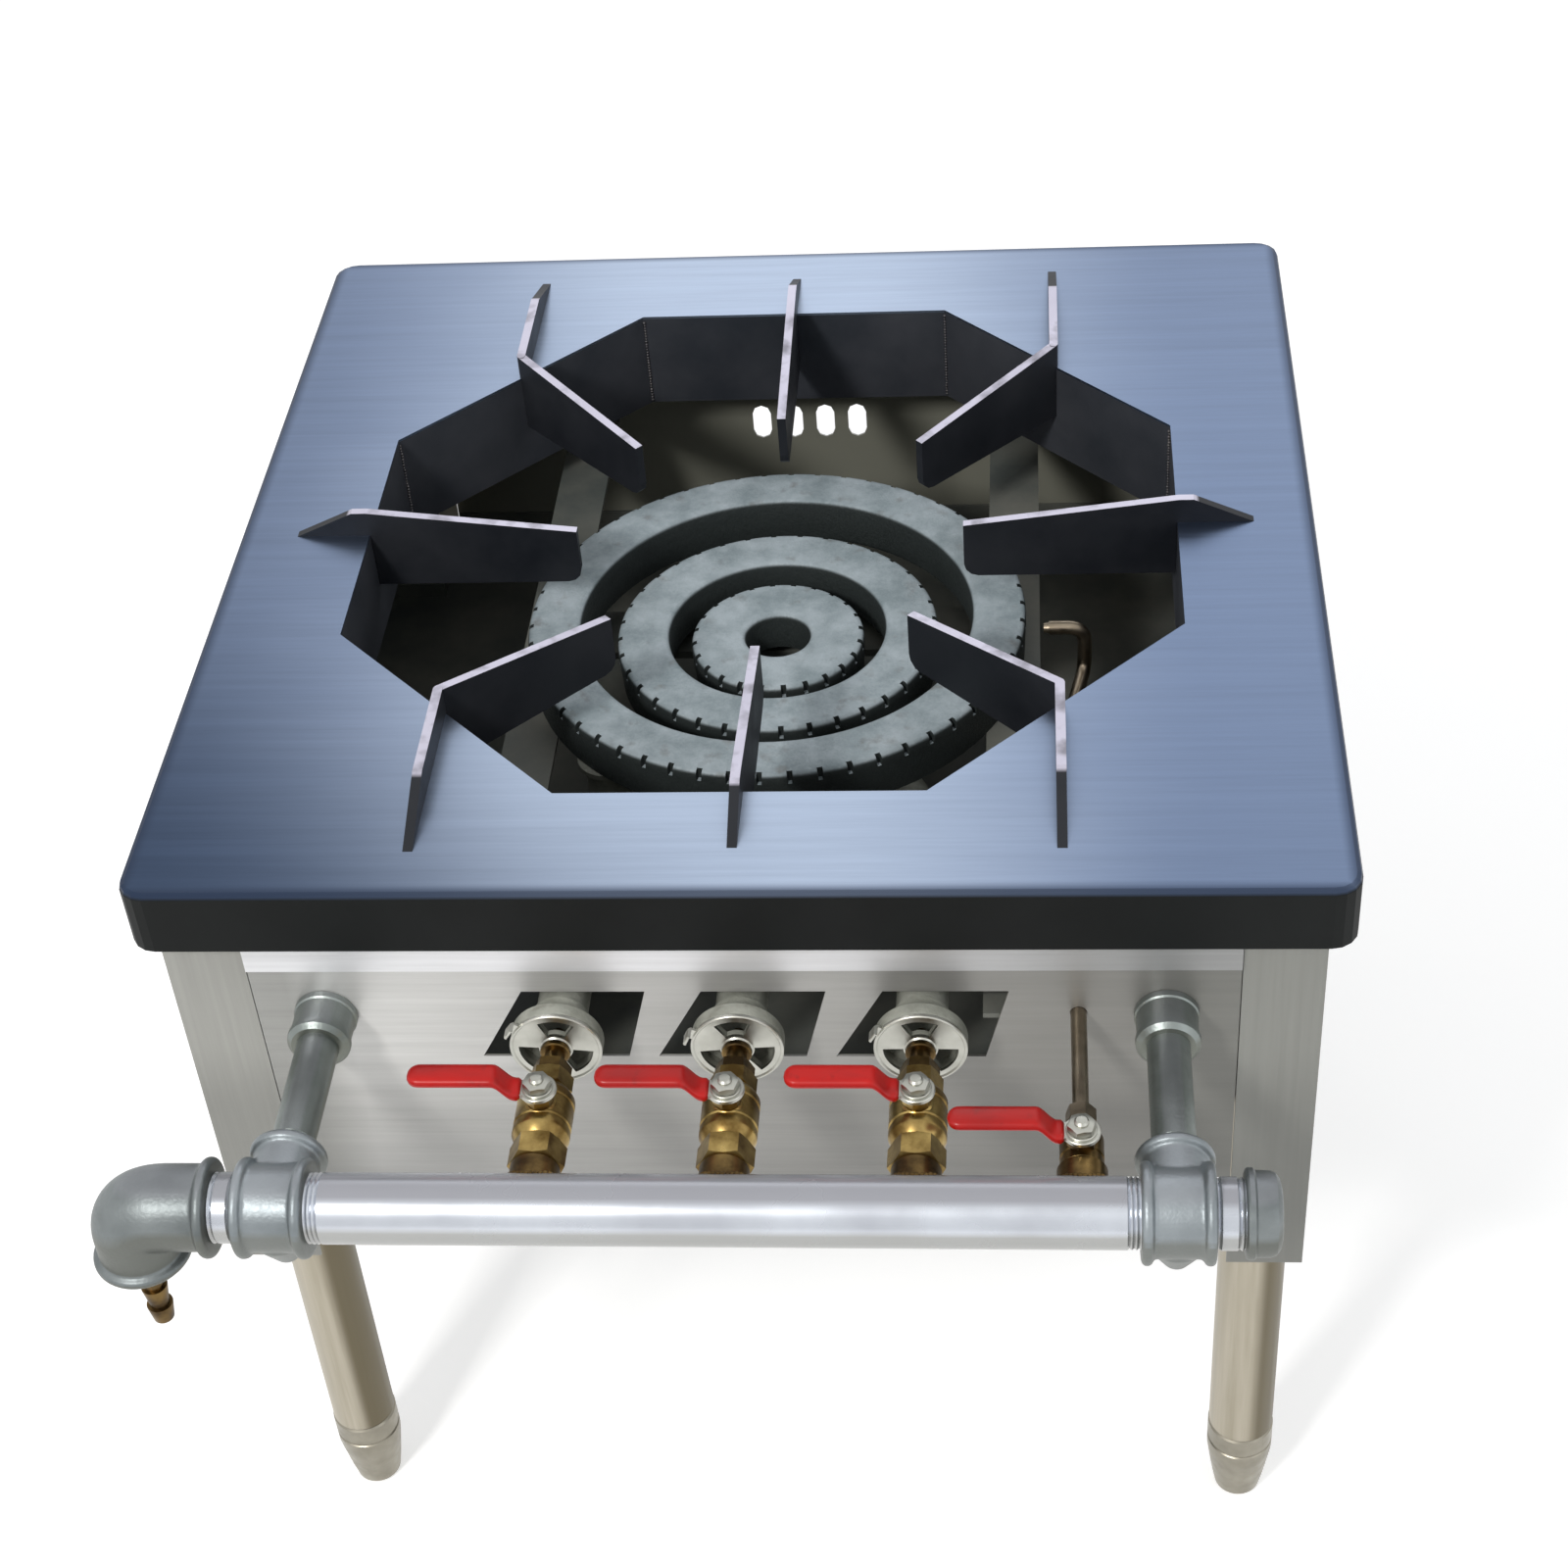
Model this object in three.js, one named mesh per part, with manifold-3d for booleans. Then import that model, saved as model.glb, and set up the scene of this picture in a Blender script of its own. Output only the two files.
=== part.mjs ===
// Stock pot range: a low gas ring stove for one large pot.
// Millimetres, +Z up, the floor at z = 0. The controls face -Y.
// The model is drawn about the centre of the top plate, then moved so that the origin
// lies under the middle of the whole object.

import * as THREE from 'three';
import { mergeVertices } from 'three/addons/utils/BufferGeometryUtils.js';
import Module from 'manifold-3d';

const wasm = await Module();
wasm.setup();

// ---------------------------------------------------------------- driving dimensions

const topHeight = 540;          // floor to the face of the top plate
const sheet = 1.5;              // stainless sheet of the plate, panels and posts
const gap = 0.3;                // seating gap between neighbouring pieces
const runningClearance = 0.1;   // of a turning or sliding part on its shaft, all round
const overcut = 1;              // how far a cutting tool runs past the face that it cuts
const roundSides = 14;          // sides of a round part
const smallSides = 8;           // sides of a small bore or tube

// Top plate
const plateSize = 600;
const rimDrop = 37;
const plateCorner = 14;         // radius of the upright corners
const plateEdge = 3;            // radius of the folded top edge
const holeFlats = 451;          // octagonal hole, across flats

// Burner well, the collar that hangs in the hole
const wellDepth = 62;
const wellWall = 2;
const wellFlange = 16;          // width of the flange under the plate

// Body
const sideOverhang = 14;        // of the plate past the body
const frontOverhang = 7;
const backOverhang = 14;
const panelDrop = 200;          // plate face down to the panels' lower edge
const postFace = 40;            // width of a post as the front shows it
const postSide = 80;            // depth of its side flange
const postDrop = 276;           // plate face down to the posts' lower end
const seam = 0.5;               // open joint between a panel and a post
const panelLip = 15;            // lower edge folded inwards, which carries the tray
const stripHeight = 21;         // raised strip along the top of the front panel
const stripProud = 2;
const trayWall = 12;
const trayRoom = 1;             // between the tray's notches and the posts
const ventWidth = 12;
const ventHeight = 25;
const ventPitch = 21;
const ventDrop = 117.5;         // plate face down to the middle of the vents
const ventCount = 4;
const ventSteps = 4;            // straight lines in each round end

// Legs and feet
const legDiameter = 38.1;
const legWall = 1.5;
const legSetBack = 51;          // body face to the leg's axis
const legInPost = 126;          // length of leg held inside a post
const legPlug = 24;             // height of the threaded plug in the leg's end
const footHeight = 60;
const footFlat = 13;            // radius of the foot's flat sole
const footCollar = 22;          // height of the foot's straight collar
const footStem = 16;            // diameter of the screwed stem
const footStemLength = 42;

// Trivet fins
const finThickness = 5;
const finRise = 15;             // height above the plate
const finPastHole = 41.5;       // straight fins, edge of the hole to the outer tip
const finInner = 108;           // straight fins, plate centre to the inner end
const finDiagonalInner = 115;   // bent fins, plate centre to the inner end
const finCrown = 8;             // length of the level top outside the hole
const finSlope = 33;            // length of the sloping outer end
const bentCrown = 65;           // bent fins: level top beyond the bend
const bentSlope = 44;           // bent fins: sloping end beyond that
const finDrop = 34;             // plate face down to the fins' lower edge
const finNose = 8;              // rounding of the lower inner corner
const noseSteps = 3;

// Ring burners: radii, and the drop of each top below the plate face
const outerRing = { inner: 112, outer: 143, drop: 61, height: 28, ports: 18, sides: 30 };
const middleRing = { inner: 62, outer: 92, drop: 71, height: 26, ports: 12, sides: 24 };
const innerRing = { inner: 18.5, outer: 50.5, drop: 76, height: 24, ports: 8, sides: 18 };
const ringCrown = 6;            // height of the rounded top edges
const ringDraft = 1;            // taper of the ring's sides
const portWidth = 2.6;
const portDepth = 3.2;
const padRadius = 6;            // feet under the two inner rings
const padRoot = 2;              // how far a foot reaches up into its ring
const padInset = 1;             // inner ring's foot from the cross bar's front edge

// Burner support
const angleReach = 7;           // angle bar's outer edge beyond the outer ring
const angleFlange = 30;
const angleThickness = 3;
const crossBarWidth = 40;
const crossBarThickness = 5;
const crossBarMiddle = 50;      // behind the plate centre
const innerPadHeight = 11;      // height of the inner ring's foot on the cross bar

// Gas line
const gasDrop = 87;             // plate face down to the gas axis
const manifoldStand = 128;      // front panel to the manifold's axis
const pipeDiameter = 33.7;
const pipeWall = 3.2;
const railDiameter = 21.3;
const railWall = 2.6;
const railInset = 76;           // body's side to a rail's axis
const railSocket = { radius: 16, length: 24, chamfer: 2 };
const railNut = { flats: 32, height: 6 };
const railThrough = 20;         // length of rail behind the front panel
const teeHalf = 17;             // tee centre to each end
const teeRadius = 21;           // of a tee's run
const teeBranch = 34;           // tee centre to the end of its branch
const branchRadius = 16;
const beadStand = 3;            // how far the beads at a fitting's mouths stand out
const beadWidth = 5;
const socketDepth = 9;
const fittingBore = 13.6;       // radius of the way through the fittings
const teePoint = { reach: 34, tip: 4, root: 16, start: 15 };    // the tee's pointed lower side
const nippleShown = 12;         // pipe that shows between the left tee and the elbow
const elbowArm = 42;
const elbowDrop = 33;
const elbowBend = 24;
const elbowBendSteps = 3;
const elbowRadius = 21;
const capNeck = 13;             // pipe that shows between the right tee and its cap
const cap = { radius: 21, length: 17, round: 4 };
const bushFlats = 30;
const bushRadius = 14;          // of the part screwed into the elbow
const bushHeight = 8;
const barbLength = 40;
const barbRadius = 6.5;
const barbStep = 1.5;           // depth of a barb
const barbLead = 2;             // plain length above each barb
const barbBore = 3.5;
const barbCount = 3;

// Valves
const valvePitch = 90;
const bossStand = 25;           // manifold's axis to the faces of its bosses
const bossRadius = 12;
const bossRoot = 4;             // how far a boss reaches into the pipe
const valveRearHex = { flats: 24, length: 14 };
const valveBarrel = { radius: 14, length: 34, shoulder: 11, taper: 5 };
const valveFrontHex = { flats: 20, length: 11 };
const stemBoss = { radius: 7.5, rise: 20 };     // rise: gas axis to its top
const gasway = 3.5;             // radius of the way through a valve
const lever = {
  length: 62,                   // stem's axis to the far end
  sleeveStart: 8,               // stem's axis to the vinyl
  bendStart: 12,                // stem's axis to the step up
  bendLength: 8,
  step: 9,
  width: 13,
  thickness: 6,                 // over the vinyl
  bare: 10,                     // width of the bare strip
  strip: 2.5,
};
const leverEndSteps = 6;
const leverHub = 9;             // radius
const leverNut = { flats: 12, height: 5 };
const leverStem = { radius: 3.5, length: 10, root: 1 };

// Pilot
const pilotInset = 43;          // right rail's axis to the pilot valve's axis
const pilotBarrel = { radius: 10.5, length: 20 };
const pilotHex = { flats: 15, length: 9 };
const pilotUnion = { flats: 13, length: 9 };
const pilotBossRise = 14.5;     // gas axis to the top of the pilot's stem boss
const pilotWay = 1.75;          // radius of the way through the pilot valve
const pilotTube = 8;            // diameter
const pilotRiserY = -20;        // where the tube turns up beside the burner
const pilotJog = 8;             // how far it turns aside before that
const pilotJogLength = 40;
const pilotOverRing = 3;        // the tube's axis above the top of the outer ring
const pilotFromRing = 12;       // outer ring to the tube's open end
const pilotBend = 9;
const pilotBendSteps = 3;

// Injectors, shutters and mixing tubes
const injectorHex = { flats: 17, length: 7 };
const injectorNeck = 5;         // radius
const injectorTip = 3;
const injectorNose = 10;        // how far the tip reaches into the bell
const injectorTaper = 5;
const injectorBore = 1;
const retainer = { radius: 7.5, length: 3 };
const shutterRadius = 23;
const shutterThickness = 2;
const shutterChamfer = 1;
const shutterTab = { width: 6, reach: 5, height: 8 };
const shutterWindow = { inner: 8.5, outer: 18.5, degrees: 58, count: 3, steps: 2 };
const bellStand = 23;           // front panel to the bell's face
const bellFace = 3;             // thickness of the bell's face
const bellRim = 7;              // length of its straight rim
const bellLength = 20;
const bellSwell = 1.5;          // how far the bell's neck stands out round the tube
const bellWall = 4;
const bellSteps = 2;
const tubeRadius = 13;
const tubeSides = 10;
const tubeBore = 9.5;
const boreSides = 8;
const tubeFlange = 17;
const tubeFlangeThickness = 5;
const tubeLowDrop = 133;        // plate face down to the tubes' low run
const tubeLead = 38;            // front panel to where a tube starts to drop
const tubeDropEnd = 104;        // front panel to the end of that drop
const tubeFeed = 60;            // low run's last corner to the inlet
const tubeBend = 20;
const tubeBendSteps = 2;
const middleInletX = 60;        // where the right-hand tube comes up under the middle ring
const inletDepth = 13;          // depth of the inlets in the rings
const openingTop = 62;          // width of an opening's upper edge
const openingShift = 12;        // how far its middle lies right of the valve
const openingRoom = 2;          // above the mixing tube
const openingHeight = 46;
const openingLeftLean = 25;
const openingRightLean = 12;

// ---------------------------------------------------------------- derived values

const plateUnder = topHeight - sheet;
const halfPlate = plateSize / 2;
const halfHole = holeFlats / 2;
const wellOutside = halfHole + wellWall;
const halfBody = halfPlate - sideOverhang;
const frontFace = -(halfPlate - frontOverhang);
const backFace = halfPlate - backOverhang;
const panelBottom = topHeight - panelDrop;
const panelHalf = halfBody - postFace - seam;
const gasHeight = topHeight - gasDrop;
const legRadius = legDiameter / 2;
const legX = halfBody - sheet - legRadius - gap;
const legFrontY = frontFace + legSetBack;
const legBackY = backFace - legSetBack;
const legBottom = footHeight + gap;
const legTop = topHeight - postDrop + legInPost;
const pipeRadius = pipeDiameter / 2;
const railRadius = railDiameter / 2;
const railBore = railRadius - railWall;
const railX = halfBody - railInset;
const manifoldY = frontFace - manifoldStand;
const bossFace = manifoldY + bossStand;
const valveEnd = bossFace + valveRearHex.length + valveBarrel.length + valveFrontHex.length;
const stemY = bossFace + valveRearHex.length + valveBarrel.length / 2;
const stemTop = gasHeight + stemBoss.rise;
const valveXs = [-valvePitch, 0, valvePitch];
const pilotX = railX - pilotInset;
const pilotStemY = bossFace + pilotBarrel.length / 2;
const pilotStemTop = gasHeight + pilotBossRise;
const pilotValveEnd = bossFace + pilotBarrel.length + pilotHex.length;
const bellY = frontFace - bellStand;
const shutterY = bellY - gap - shutterThickness;
const fitRadius = pipeRadius + gap;
const beadRadius = teeRadius + beadStand;
const elbowX = -(railX + teeHalf + nippleShown + elbowArm);

// ---------------------------------------------------------------- solids from geometry

function solidFrom(geometry) {
  geometry.deleteAttribute('normal');
  geometry.deleteAttribute('uv');
  const merged = mergeVertices(geometry, 1e-4);
  const points = merged.attributes.position.array;
  const faces = [];
  const index = merged.index.array;
  for (let i = 0; i < index.length; i += 3) {
    const [a, b, c] = [index[i], index[i + 1], index[i + 2]];
    if (a !== b && b !== c && c !== a) faces.push([a, b, c]);
  }
  if (signedVolume(points, faces) < 0) {
    faces.forEach((face) => face.reverse());
  }
  const mesh = new wasm.Mesh({
    numProp: 3,
    vertProperties: new Float32Array(points),
    triVerts: new Uint32Array(faces.flat()),
  });
  return new wasm.Manifold(mesh);
}

function signedVolume(points, faces) {
  let sum = 0;
  const corner = (i) => new THREE.Vector3().fromArray(points, 3 * i);
  for (const [a, b, c] of faces) {
    sum += corner(a).dot(corner(b).cross(corner(c))) / 6;
  }
  return sum;
}

function join(first, ...others) {
  return others.reduce((sum, other) => sum.add(other), first);
}

function cut(body, ...tools) {
  return tools.reduce((rest, tool) => rest.subtract(tool), body);
}

// A block between two corners, whose coordinates may come in either order
function block(x0, x1, y0, y1, z0, z1) {
  const geometry = new THREE.BoxGeometry(Math.abs(x1 - x0), Math.abs(y1 - y0), Math.abs(z1 - z0));
  geometry.translate((x0 + x1) / 2, (y0 + y1) / 2, (z0 + z1) / 2);
  return solidFrom(geometry);
}

// Points [along, radius] turned about an axis that leaves the origin given
function turned(points, axis, origin, segments = roundSides) {
  const profile = points.map(([along, radius]) => new THREE.Vector2(radius, along));
  const geometry = new THREE.LatheGeometry(profile, segments);
  if (axis === 'z') geometry.rotateX(Math.PI / 2);
  if (axis === 'x') geometry.rotateZ(-Math.PI / 2);
  geometry.translate(...origin);
  return solidFrom(geometry);
}

// A plain round bar along an axis, from one distance to another
function rod(radius, from, to, axis, origin, segments = roundSides) {
  const [low, high] = [Math.min(from, to), Math.max(from, to)];
  return turned([[low, 0], [low, radius], [high, radius], [high, 0]], axis, origin, segments);
}

// A hexagonal bar, with a flat side up where it lies along x or y
function hexBar(flats, from, to, axis, origin) {
  const radius = flats / Math.sqrt(3);
  const points = Array.from({ length: 6 }, (_, i) => {
    const angle = (i * Math.PI) / 3;
    return [radius * Math.cos(angle), radius * Math.sin(angle)];
  });
  const [low, high] = [Math.min(from, to), Math.max(from, to)];
  return prism(points, high - low, axis, low, origin);
}

// An outline pushed along an axis by a depth. For z the outline is (x, y); for y it is
// (x, z); for x it is (y, z).
function prism(points, depth, axis, start, origin = [0, 0, 0]) {
  const shape = new THREE.Shape(points.map(([u, v]) => new THREE.Vector2(u, v)));
  const geometry = new THREE.ExtrudeGeometry(shape, { depth, bevelEnabled: false });
  if (axis === 'y') {
    geometry.rotateX(Math.PI / 2);
    geometry.translate(0, depth + start, 0);
  } else if (axis === 'x') {
    geometry.rotateZ(Math.PI / 2);
    geometry.rotateY(Math.PI / 2);
    geometry.translate(start, 0, 0);
  } else {
    geometry.translate(0, 0, start);
  }
  geometry.translate(...origin);
  return solidFrom(geometry);
}

// Points along a run of straight lines whose corners, where it turns, are rounded
function roundedPath(corners, round, steps) {
  const leastTurn = 1e-6;
  const points = [corners[0]];
  for (let i = 1; i < corners.length - 1; i += 1) {
    const before = corners[i - 1].clone().sub(corners[i]);
    const after = corners[i + 1].clone().sub(corners[i]);
    if (before.clone().cross(after).length() < leastTurn) continue;
    const reach = Math.min(round, before.length() / 2.1, after.length() / 2.1);
    const from = corners[i].clone().addScaledVector(before.normalize(), reach);
    const to = corners[i].clone().addScaledVector(after.normalize(), reach);
    points.push(...new THREE.QuadraticBezierCurve3(from, corners[i], to).getPoints(steps));
  }
  points.push(corners.at(-1));
  return points;
}

// A round bar that follows points
function sweep(points, radius, sides) {
  const steps = points.slice(1).map((point, i) => point.clone().sub(points[i]).normalize());
  const last = points.length - 1;
  const vertices = [];
  const faces = [];
  let normal = new THREE.Vector3(1, 0, 0);
  if (Math.abs(steps[0].x) > 0.9) normal = new THREE.Vector3(0, 0, 1);
  points.forEach((point, i) => {
    const along = steps[Math.max(i - 1, 0)].clone().add(steps[Math.min(i, last - 1)]).normalize();
    normal.addScaledVector(along, -normal.dot(along)).normalize();
    const across = along.clone().cross(normal);
    for (let k = 0; k < sides; k += 1) {
      const angle = (2 * Math.PI * k) / sides;
      const vertex = point.clone()
        .addScaledVector(normal, radius * Math.cos(angle))
        .addScaledVector(across, radius * Math.sin(angle));
      vertices.push(...vertex.toArray());
    }
  });
  const at = (ring, k) => ring * sides + (k % sides);
  for (let k = 0; k < sides; k += 1) {
    for (let ring = 0; ring < last; ring += 1) {
      faces.push(at(ring, k), at(ring, k + 1), at(ring + 1, k + 1));
      faces.push(at(ring, k), at(ring + 1, k + 1), at(ring + 1, k));
    }
    if (k > 0 && k < sides - 1) {
      faces.push(at(0, 0), at(0, k + 1), at(0, k));
      faces.push(at(last, 0), at(last, k), at(last, k + 1));
    }
  }
  const geometry = new THREE.BufferGeometry();
  geometry.setAttribute('position', new THREE.Float32BufferAttribute(vertices, 3));
  geometry.setIndex(faces);
  return solidFrom(geometry);
}

// The outline of a square with rounded corners
function roundedSquare(half, radius) {
  const points = [];
  const arcSteps = 4;
  const corners = [[1, 1, 0], [-1, 1, 1], [-1, -1, 2], [1, -1, 3]];
  for (const [sx, sy, quarter] of corners) {
    for (let i = 0; i <= arcSteps; i += 1) {
      const angle = (quarter + i / arcSteps) * (Math.PI / 2);
      points.push([
        sx * (half - radius) + radius * Math.cos(angle),
        sy * (half - radius) + radius * Math.sin(angle),
      ]);
    }
  }
  return points;
}

// An octagon with flat sides facing x and y
function octagon(halfFlats) {
  const radius = halfFlats / Math.cos(Math.PI / 8);
  return Array.from({ length: 8 }, (_, i) => {
    const angle = Math.PI / 8 + (i * Math.PI) / 4;
    return [radius * Math.cos(angle), radius * Math.sin(angle)];
  });
}

// The radius of a hole whose flats clear a round shaft
function runningHole(shaftRadius, sides = roundSides) {
  return (shaftRadius + runningClearance) / Math.cos(Math.PI / sides);
}

// ---------------------------------------------------------------- the assembly

const group = new THREE.Group();

const finishes = {
  top_plate: { color: 0x96a5c8, roughness: 0.35, metalness: 0.85 },
  stainless: { color: 0xa8a8a0, roughness: 0.4, metalness: 0.85 },
  black_steel: { color: 0x202224, roughness: 0.6, metalness: 0.4 },
  cast_iron: { color: 0x829187, roughness: 0.7, metalness: 0.4 },
  galvanised: { color: 0xaab4b8, roughness: 0.35, metalness: 0.8 },
  brass: { color: 0x967d46, roughness: 0.35, metalness: 0.9 },
  red_vinyl: { color: 0xc8231e, roughness: 0.4, metalness: 0.0 },
  foot: { color: 0x8c877a, roughness: 0.45, metalness: 0.6 },
};

function piece(name, solid, finish) {
  const { vertProperties, triVerts } = solid.getMesh();
  const geometry = new THREE.BufferGeometry();
  geometry.setAttribute('position', new THREE.BufferAttribute(new Float32Array(vertProperties), 3));
  geometry.setIndex(new THREE.BufferAttribute(new Uint32Array(triVerts), 1));
  geometry.computeVertexNormals();
  const mesh = new THREE.Mesh(geometry, new THREE.MeshStandardMaterial(finishes[finish]));
  mesh.name = name;
  group.add(mesh);
}

// ---------------------------------------------------------------- top plate and well

function topPlate() {
  const outline = roundedSquare(halfPlate - plateEdge, plateCorner - plateEdge);
  const shape = new THREE.Shape(outline.map(([x, y]) => new THREE.Vector2(x, y)));
  const folded = new THREE.ExtrudeGeometry(shape, {
    depth: rimDrop,
    bevelThickness: plateEdge,
    bevelSize: plateEdge,
    bevelSegments: 2,
  });
  folded.translate(0, 0, topHeight - rimDrop - plateEdge);
  const inside = roundedSquare(halfPlate - sheet, plateCorner - sheet);
  const rimBottom = topHeight - rimDrop;
  return cut(
    solidFrom(folded),
    prism(inside, rimDrop, 'z', plateUnder - rimDrop),
    block(-plateSize, plateSize, -plateSize, plateSize, rimBottom - rimDrop, rimBottom),
    prism(octagon(halfHole), sheet + 2 * overcut, 'z', plateUnder - overcut),
  );
}

function burnerWell() {
  const bottom = topHeight - wellDepth;
  return cut(
    join(
      prism(octagon(wellOutside), wellDepth - sheet, 'z', bottom),
      prism(octagon(wellOutside + wellFlange), wellWall, 'z', plateUnder - wellWall),
    ),
    prism(octagon(halfHole), wellDepth + 2 * overcut, 'z', bottom - overcut),
  );
}

piece('top_plate', topPlate(), 'top_plate');
piece('burner_well', burnerWell(), 'black_steel');

// ---------------------------------------------------------------- trivet fins

// The part of a fin that hangs in the well, as points [distance from the centre, height]
function finInWell(innerEnd) {
  const wallFace = halfHole - gap;
  const nose = Array.from({ length: noseSteps + 1 }, (_, i) => {
    const angle = (i / noseSteps) * (Math.PI / 2);
    return [
      innerEnd + finNose * (1 - Math.sin(angle)),
      -finDrop + finNose * (1 - Math.cos(angle)),
    ];
  });
  return [[innerEnd, 0], ...nose.reverse(), [wallFace, -finDrop], [wallFace, 0]];
}

// An upright plate drawn as [distance, height], centred on the x axis
function uprightPlate(points) {
  const shape = new THREE.Shape(points.map(([u, v]) => new THREE.Vector2(u, v)));
  const geometry = new THREE.ExtrudeGeometry(shape, { depth: finThickness, bevelEnabled: false });
  geometry.translate(0, 0, -finThickness / 2);
  geometry.rotateX(Math.PI / 2);
  return geometry;
}

function straightFin(quarterTurns) {
  const tip = halfHole + finPastHole;
  const crownEnd = tip - finSlope;
  const geometry = uprightPlate([
    ...finInWell(finInner),
    [tip, 0],
    [crownEnd, finRise],
    [crownEnd - finCrown, finRise],
  ]);
  geometry.rotateZ((quarterTurns * Math.PI) / 2);
  geometry.translate(0, 0, topHeight);
  return solidFrom(geometry);
}

// A fin that comes out along a diagonal and is bent to run parallel to the side
function bentFin(sideX, sideY) {
  const inner = uprightPlate([...finInWell(finDiagonalInner), [halfHole, 0], [halfHole, finRise]]);
  inner.rotateZ(Math.PI / 4);
  const outer = uprightPlate([
    [0, 0],
    [bentCrown + bentSlope, 0],
    [bentCrown, finRise],
    [0, finRise],
  ]);
  outer.rotateZ(Math.PI / 2);
  const bend = halfHole * Math.SQRT1_2;
  outer.translate(bend, bend, 0);
  const halfThick = finThickness / 2;
  const corner = new THREE.CylinderGeometry(halfThick, halfThick, finRise, smallSides);
  corner.rotateX(Math.PI / 2);
  corner.translate(bend, bend, finRise / 2);
  const parts = [inner, outer, corner].map((geometry) => {
    geometry.scale(sideX, sideY, 1);
    geometry.translate(0, 0, topHeight);
    return solidFrom(geometry);
  });
  return join(...parts);
}

piece('trivet_fin_right', straightFin(0), 'black_steel');
piece('trivet_fin_back', straightFin(1), 'black_steel');
piece('trivet_fin_left', straightFin(2), 'black_steel');
piece('trivet_fin_front', straightFin(3), 'black_steel');
piece('trivet_fin_back_right', bentFin(1, 1), 'black_steel');
piece('trivet_fin_back_left', bentFin(-1, 1), 'black_steel');
piece('trivet_fin_front_left', bentFin(-1, -1), 'black_steel');
piece('trivet_fin_front_right', bentFin(1, -1), 'black_steel');

// ---------------------------------------------------------------- body

// An L-section post whose corner points to (side, face)
function cornerPost(side, face) {
  const inward = -Math.sign(face);
  const edge = halfBody * side;
  const outline = [
    [edge, face],
    [edge - side * postFace, face],
    [edge - side * postFace, face + inward * sheet],
    [edge - side * sheet, face + inward * sheet],
    [edge - side * sheet, face + inward * postSide],
    [edge, face + inward * postSide],
  ];
  return prism(outline, postDrop - sheet, 'z', topHeight - postDrop);
}

// The front panel's section [y, z]: raised strip, face and folded lower lip
function frontPanelSection() {
  const stripBottom = topHeight - rimDrop - stripHeight;
  return [
    [frontFace + sheet, plateUnder],
    [frontFace - stripProud, plateUnder],
    [frontFace - stripProud, stripBottom + stripProud],
    [frontFace, stripBottom],
    [frontFace, panelBottom],
    [frontFace + panelLip, panelBottom],
    [frontFace + panelLip, panelBottom + sheet],
    [frontFace + sheet, panelBottom + sheet],
  ];
}

// The slanting opening [x, z] that a mixing tube goes through
function openingOutline(valveX) {
  const top = gasHeight + tubeRadius + openingRoom;
  const bottom = top - openingHeight;
  const left = valveX + openingShift - openingTop / 2;
  const right = left + openingTop;
  return [
    [left, top],
    [left - openingLeftLean, bottom],
    [right - openingRightLean, bottom],
    [right, top],
  ];
}

function frontPanel() {
  const body = prism(frontPanelSection(), 2 * panelHalf, 'x', -panelHalf);
  const start = frontFace - overcut;
  const depth = sheet + 2 * overcut;
  const openings = valveXs.map((x) => prism(openingOutline(x), depth, 'y', start));
  const railHoles = [-railX, railX].map((x) =>
    rod(railRadius + gap, start, start + depth, 'y', [x, 0, gasHeight]));
  const pilotHole = rod(pilotTube / 2 + gap, start, start + depth, 'y', [pilotX, 0, gasHeight]);
  return cut(body, ...openings, ...railHoles, pilotHole);
}

// An upright slot [x, z] with round ends
function ventOutline(x, z) {
  const radius = ventWidth / 2;
  const straight = ventHeight / 2 - radius;
  const end = (side) => Array.from({ length: ventSteps + 1 }, (_, i) => {
    const angle = (i / ventSteps) * Math.PI;
    return [
      x + side * radius * Math.cos(angle),
      z + side * (straight + radius * Math.sin(angle)),
    ];
  });
  return [...end(1), ...end(-1)];
}

function backPanel() {
  const section = [
    [backFace, plateUnder],
    [backFace, panelBottom],
    [backFace - panelLip, panelBottom],
    [backFace - panelLip, panelBottom + sheet],
    [backFace - sheet, panelBottom + sheet],
    [backFace - sheet, plateUnder],
  ];
  const start = backFace - sheet - overcut;
  const depth = sheet + 2 * overcut;
  const vents = Array.from({ length: ventCount }, (_, i) => {
    const x = (i - (ventCount - 1) / 2) * ventPitch;
    return prism(ventOutline(x, topHeight - ventDrop), depth, 'y', start);
  });
  return cut(prism(section, 2 * panelHalf, 'x', -panelHalf), ...vents);
}

function sidePanel(side) {
  const face = side * halfBody;
  const from = frontFace + postSide + seam;
  const to = backFace - postSide - seam;
  return join(
    block(face, face - side * sheet, from, to, panelBottom, plateUnder),
    block(face, face - side * panelLip, from, to, panelBottom, panelBottom + sheet),
  );
}

// The tray lies on the folded lips of all four panels, notched round the posts and legs
function baseTray() {
  const narrow = panelHalf - trayRoom;
  const wide = halfBody - sheet - gap;
  const front = frontFace + sheet + gap;
  const back = backFace - sheet - gap;
  const notchFront = frontFace + postSide + seam + trayRoom;
  const notchBack = backFace - postSide - seam - trayRoom;
  const half = (inset) => [
    [narrow - inset, front + inset],
    [narrow - inset, notchFront + inset],
    [wide - inset, notchFront + inset],
    [wide - inset, notchBack - inset],
    [narrow - inset, notchBack - inset],
    [narrow - inset, back - inset],
  ];
  const cross = (inset) => [...half(inset), ...half(inset).reverse().map(([x, y]) => [-x, y])];
  const under = panelBottom + sheet;
  return cut(
    prism(cross(0), trayWall, 'z', under),
    prism(cross(sheet), trayWall, 'z', under + sheet),
  );
}

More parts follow.
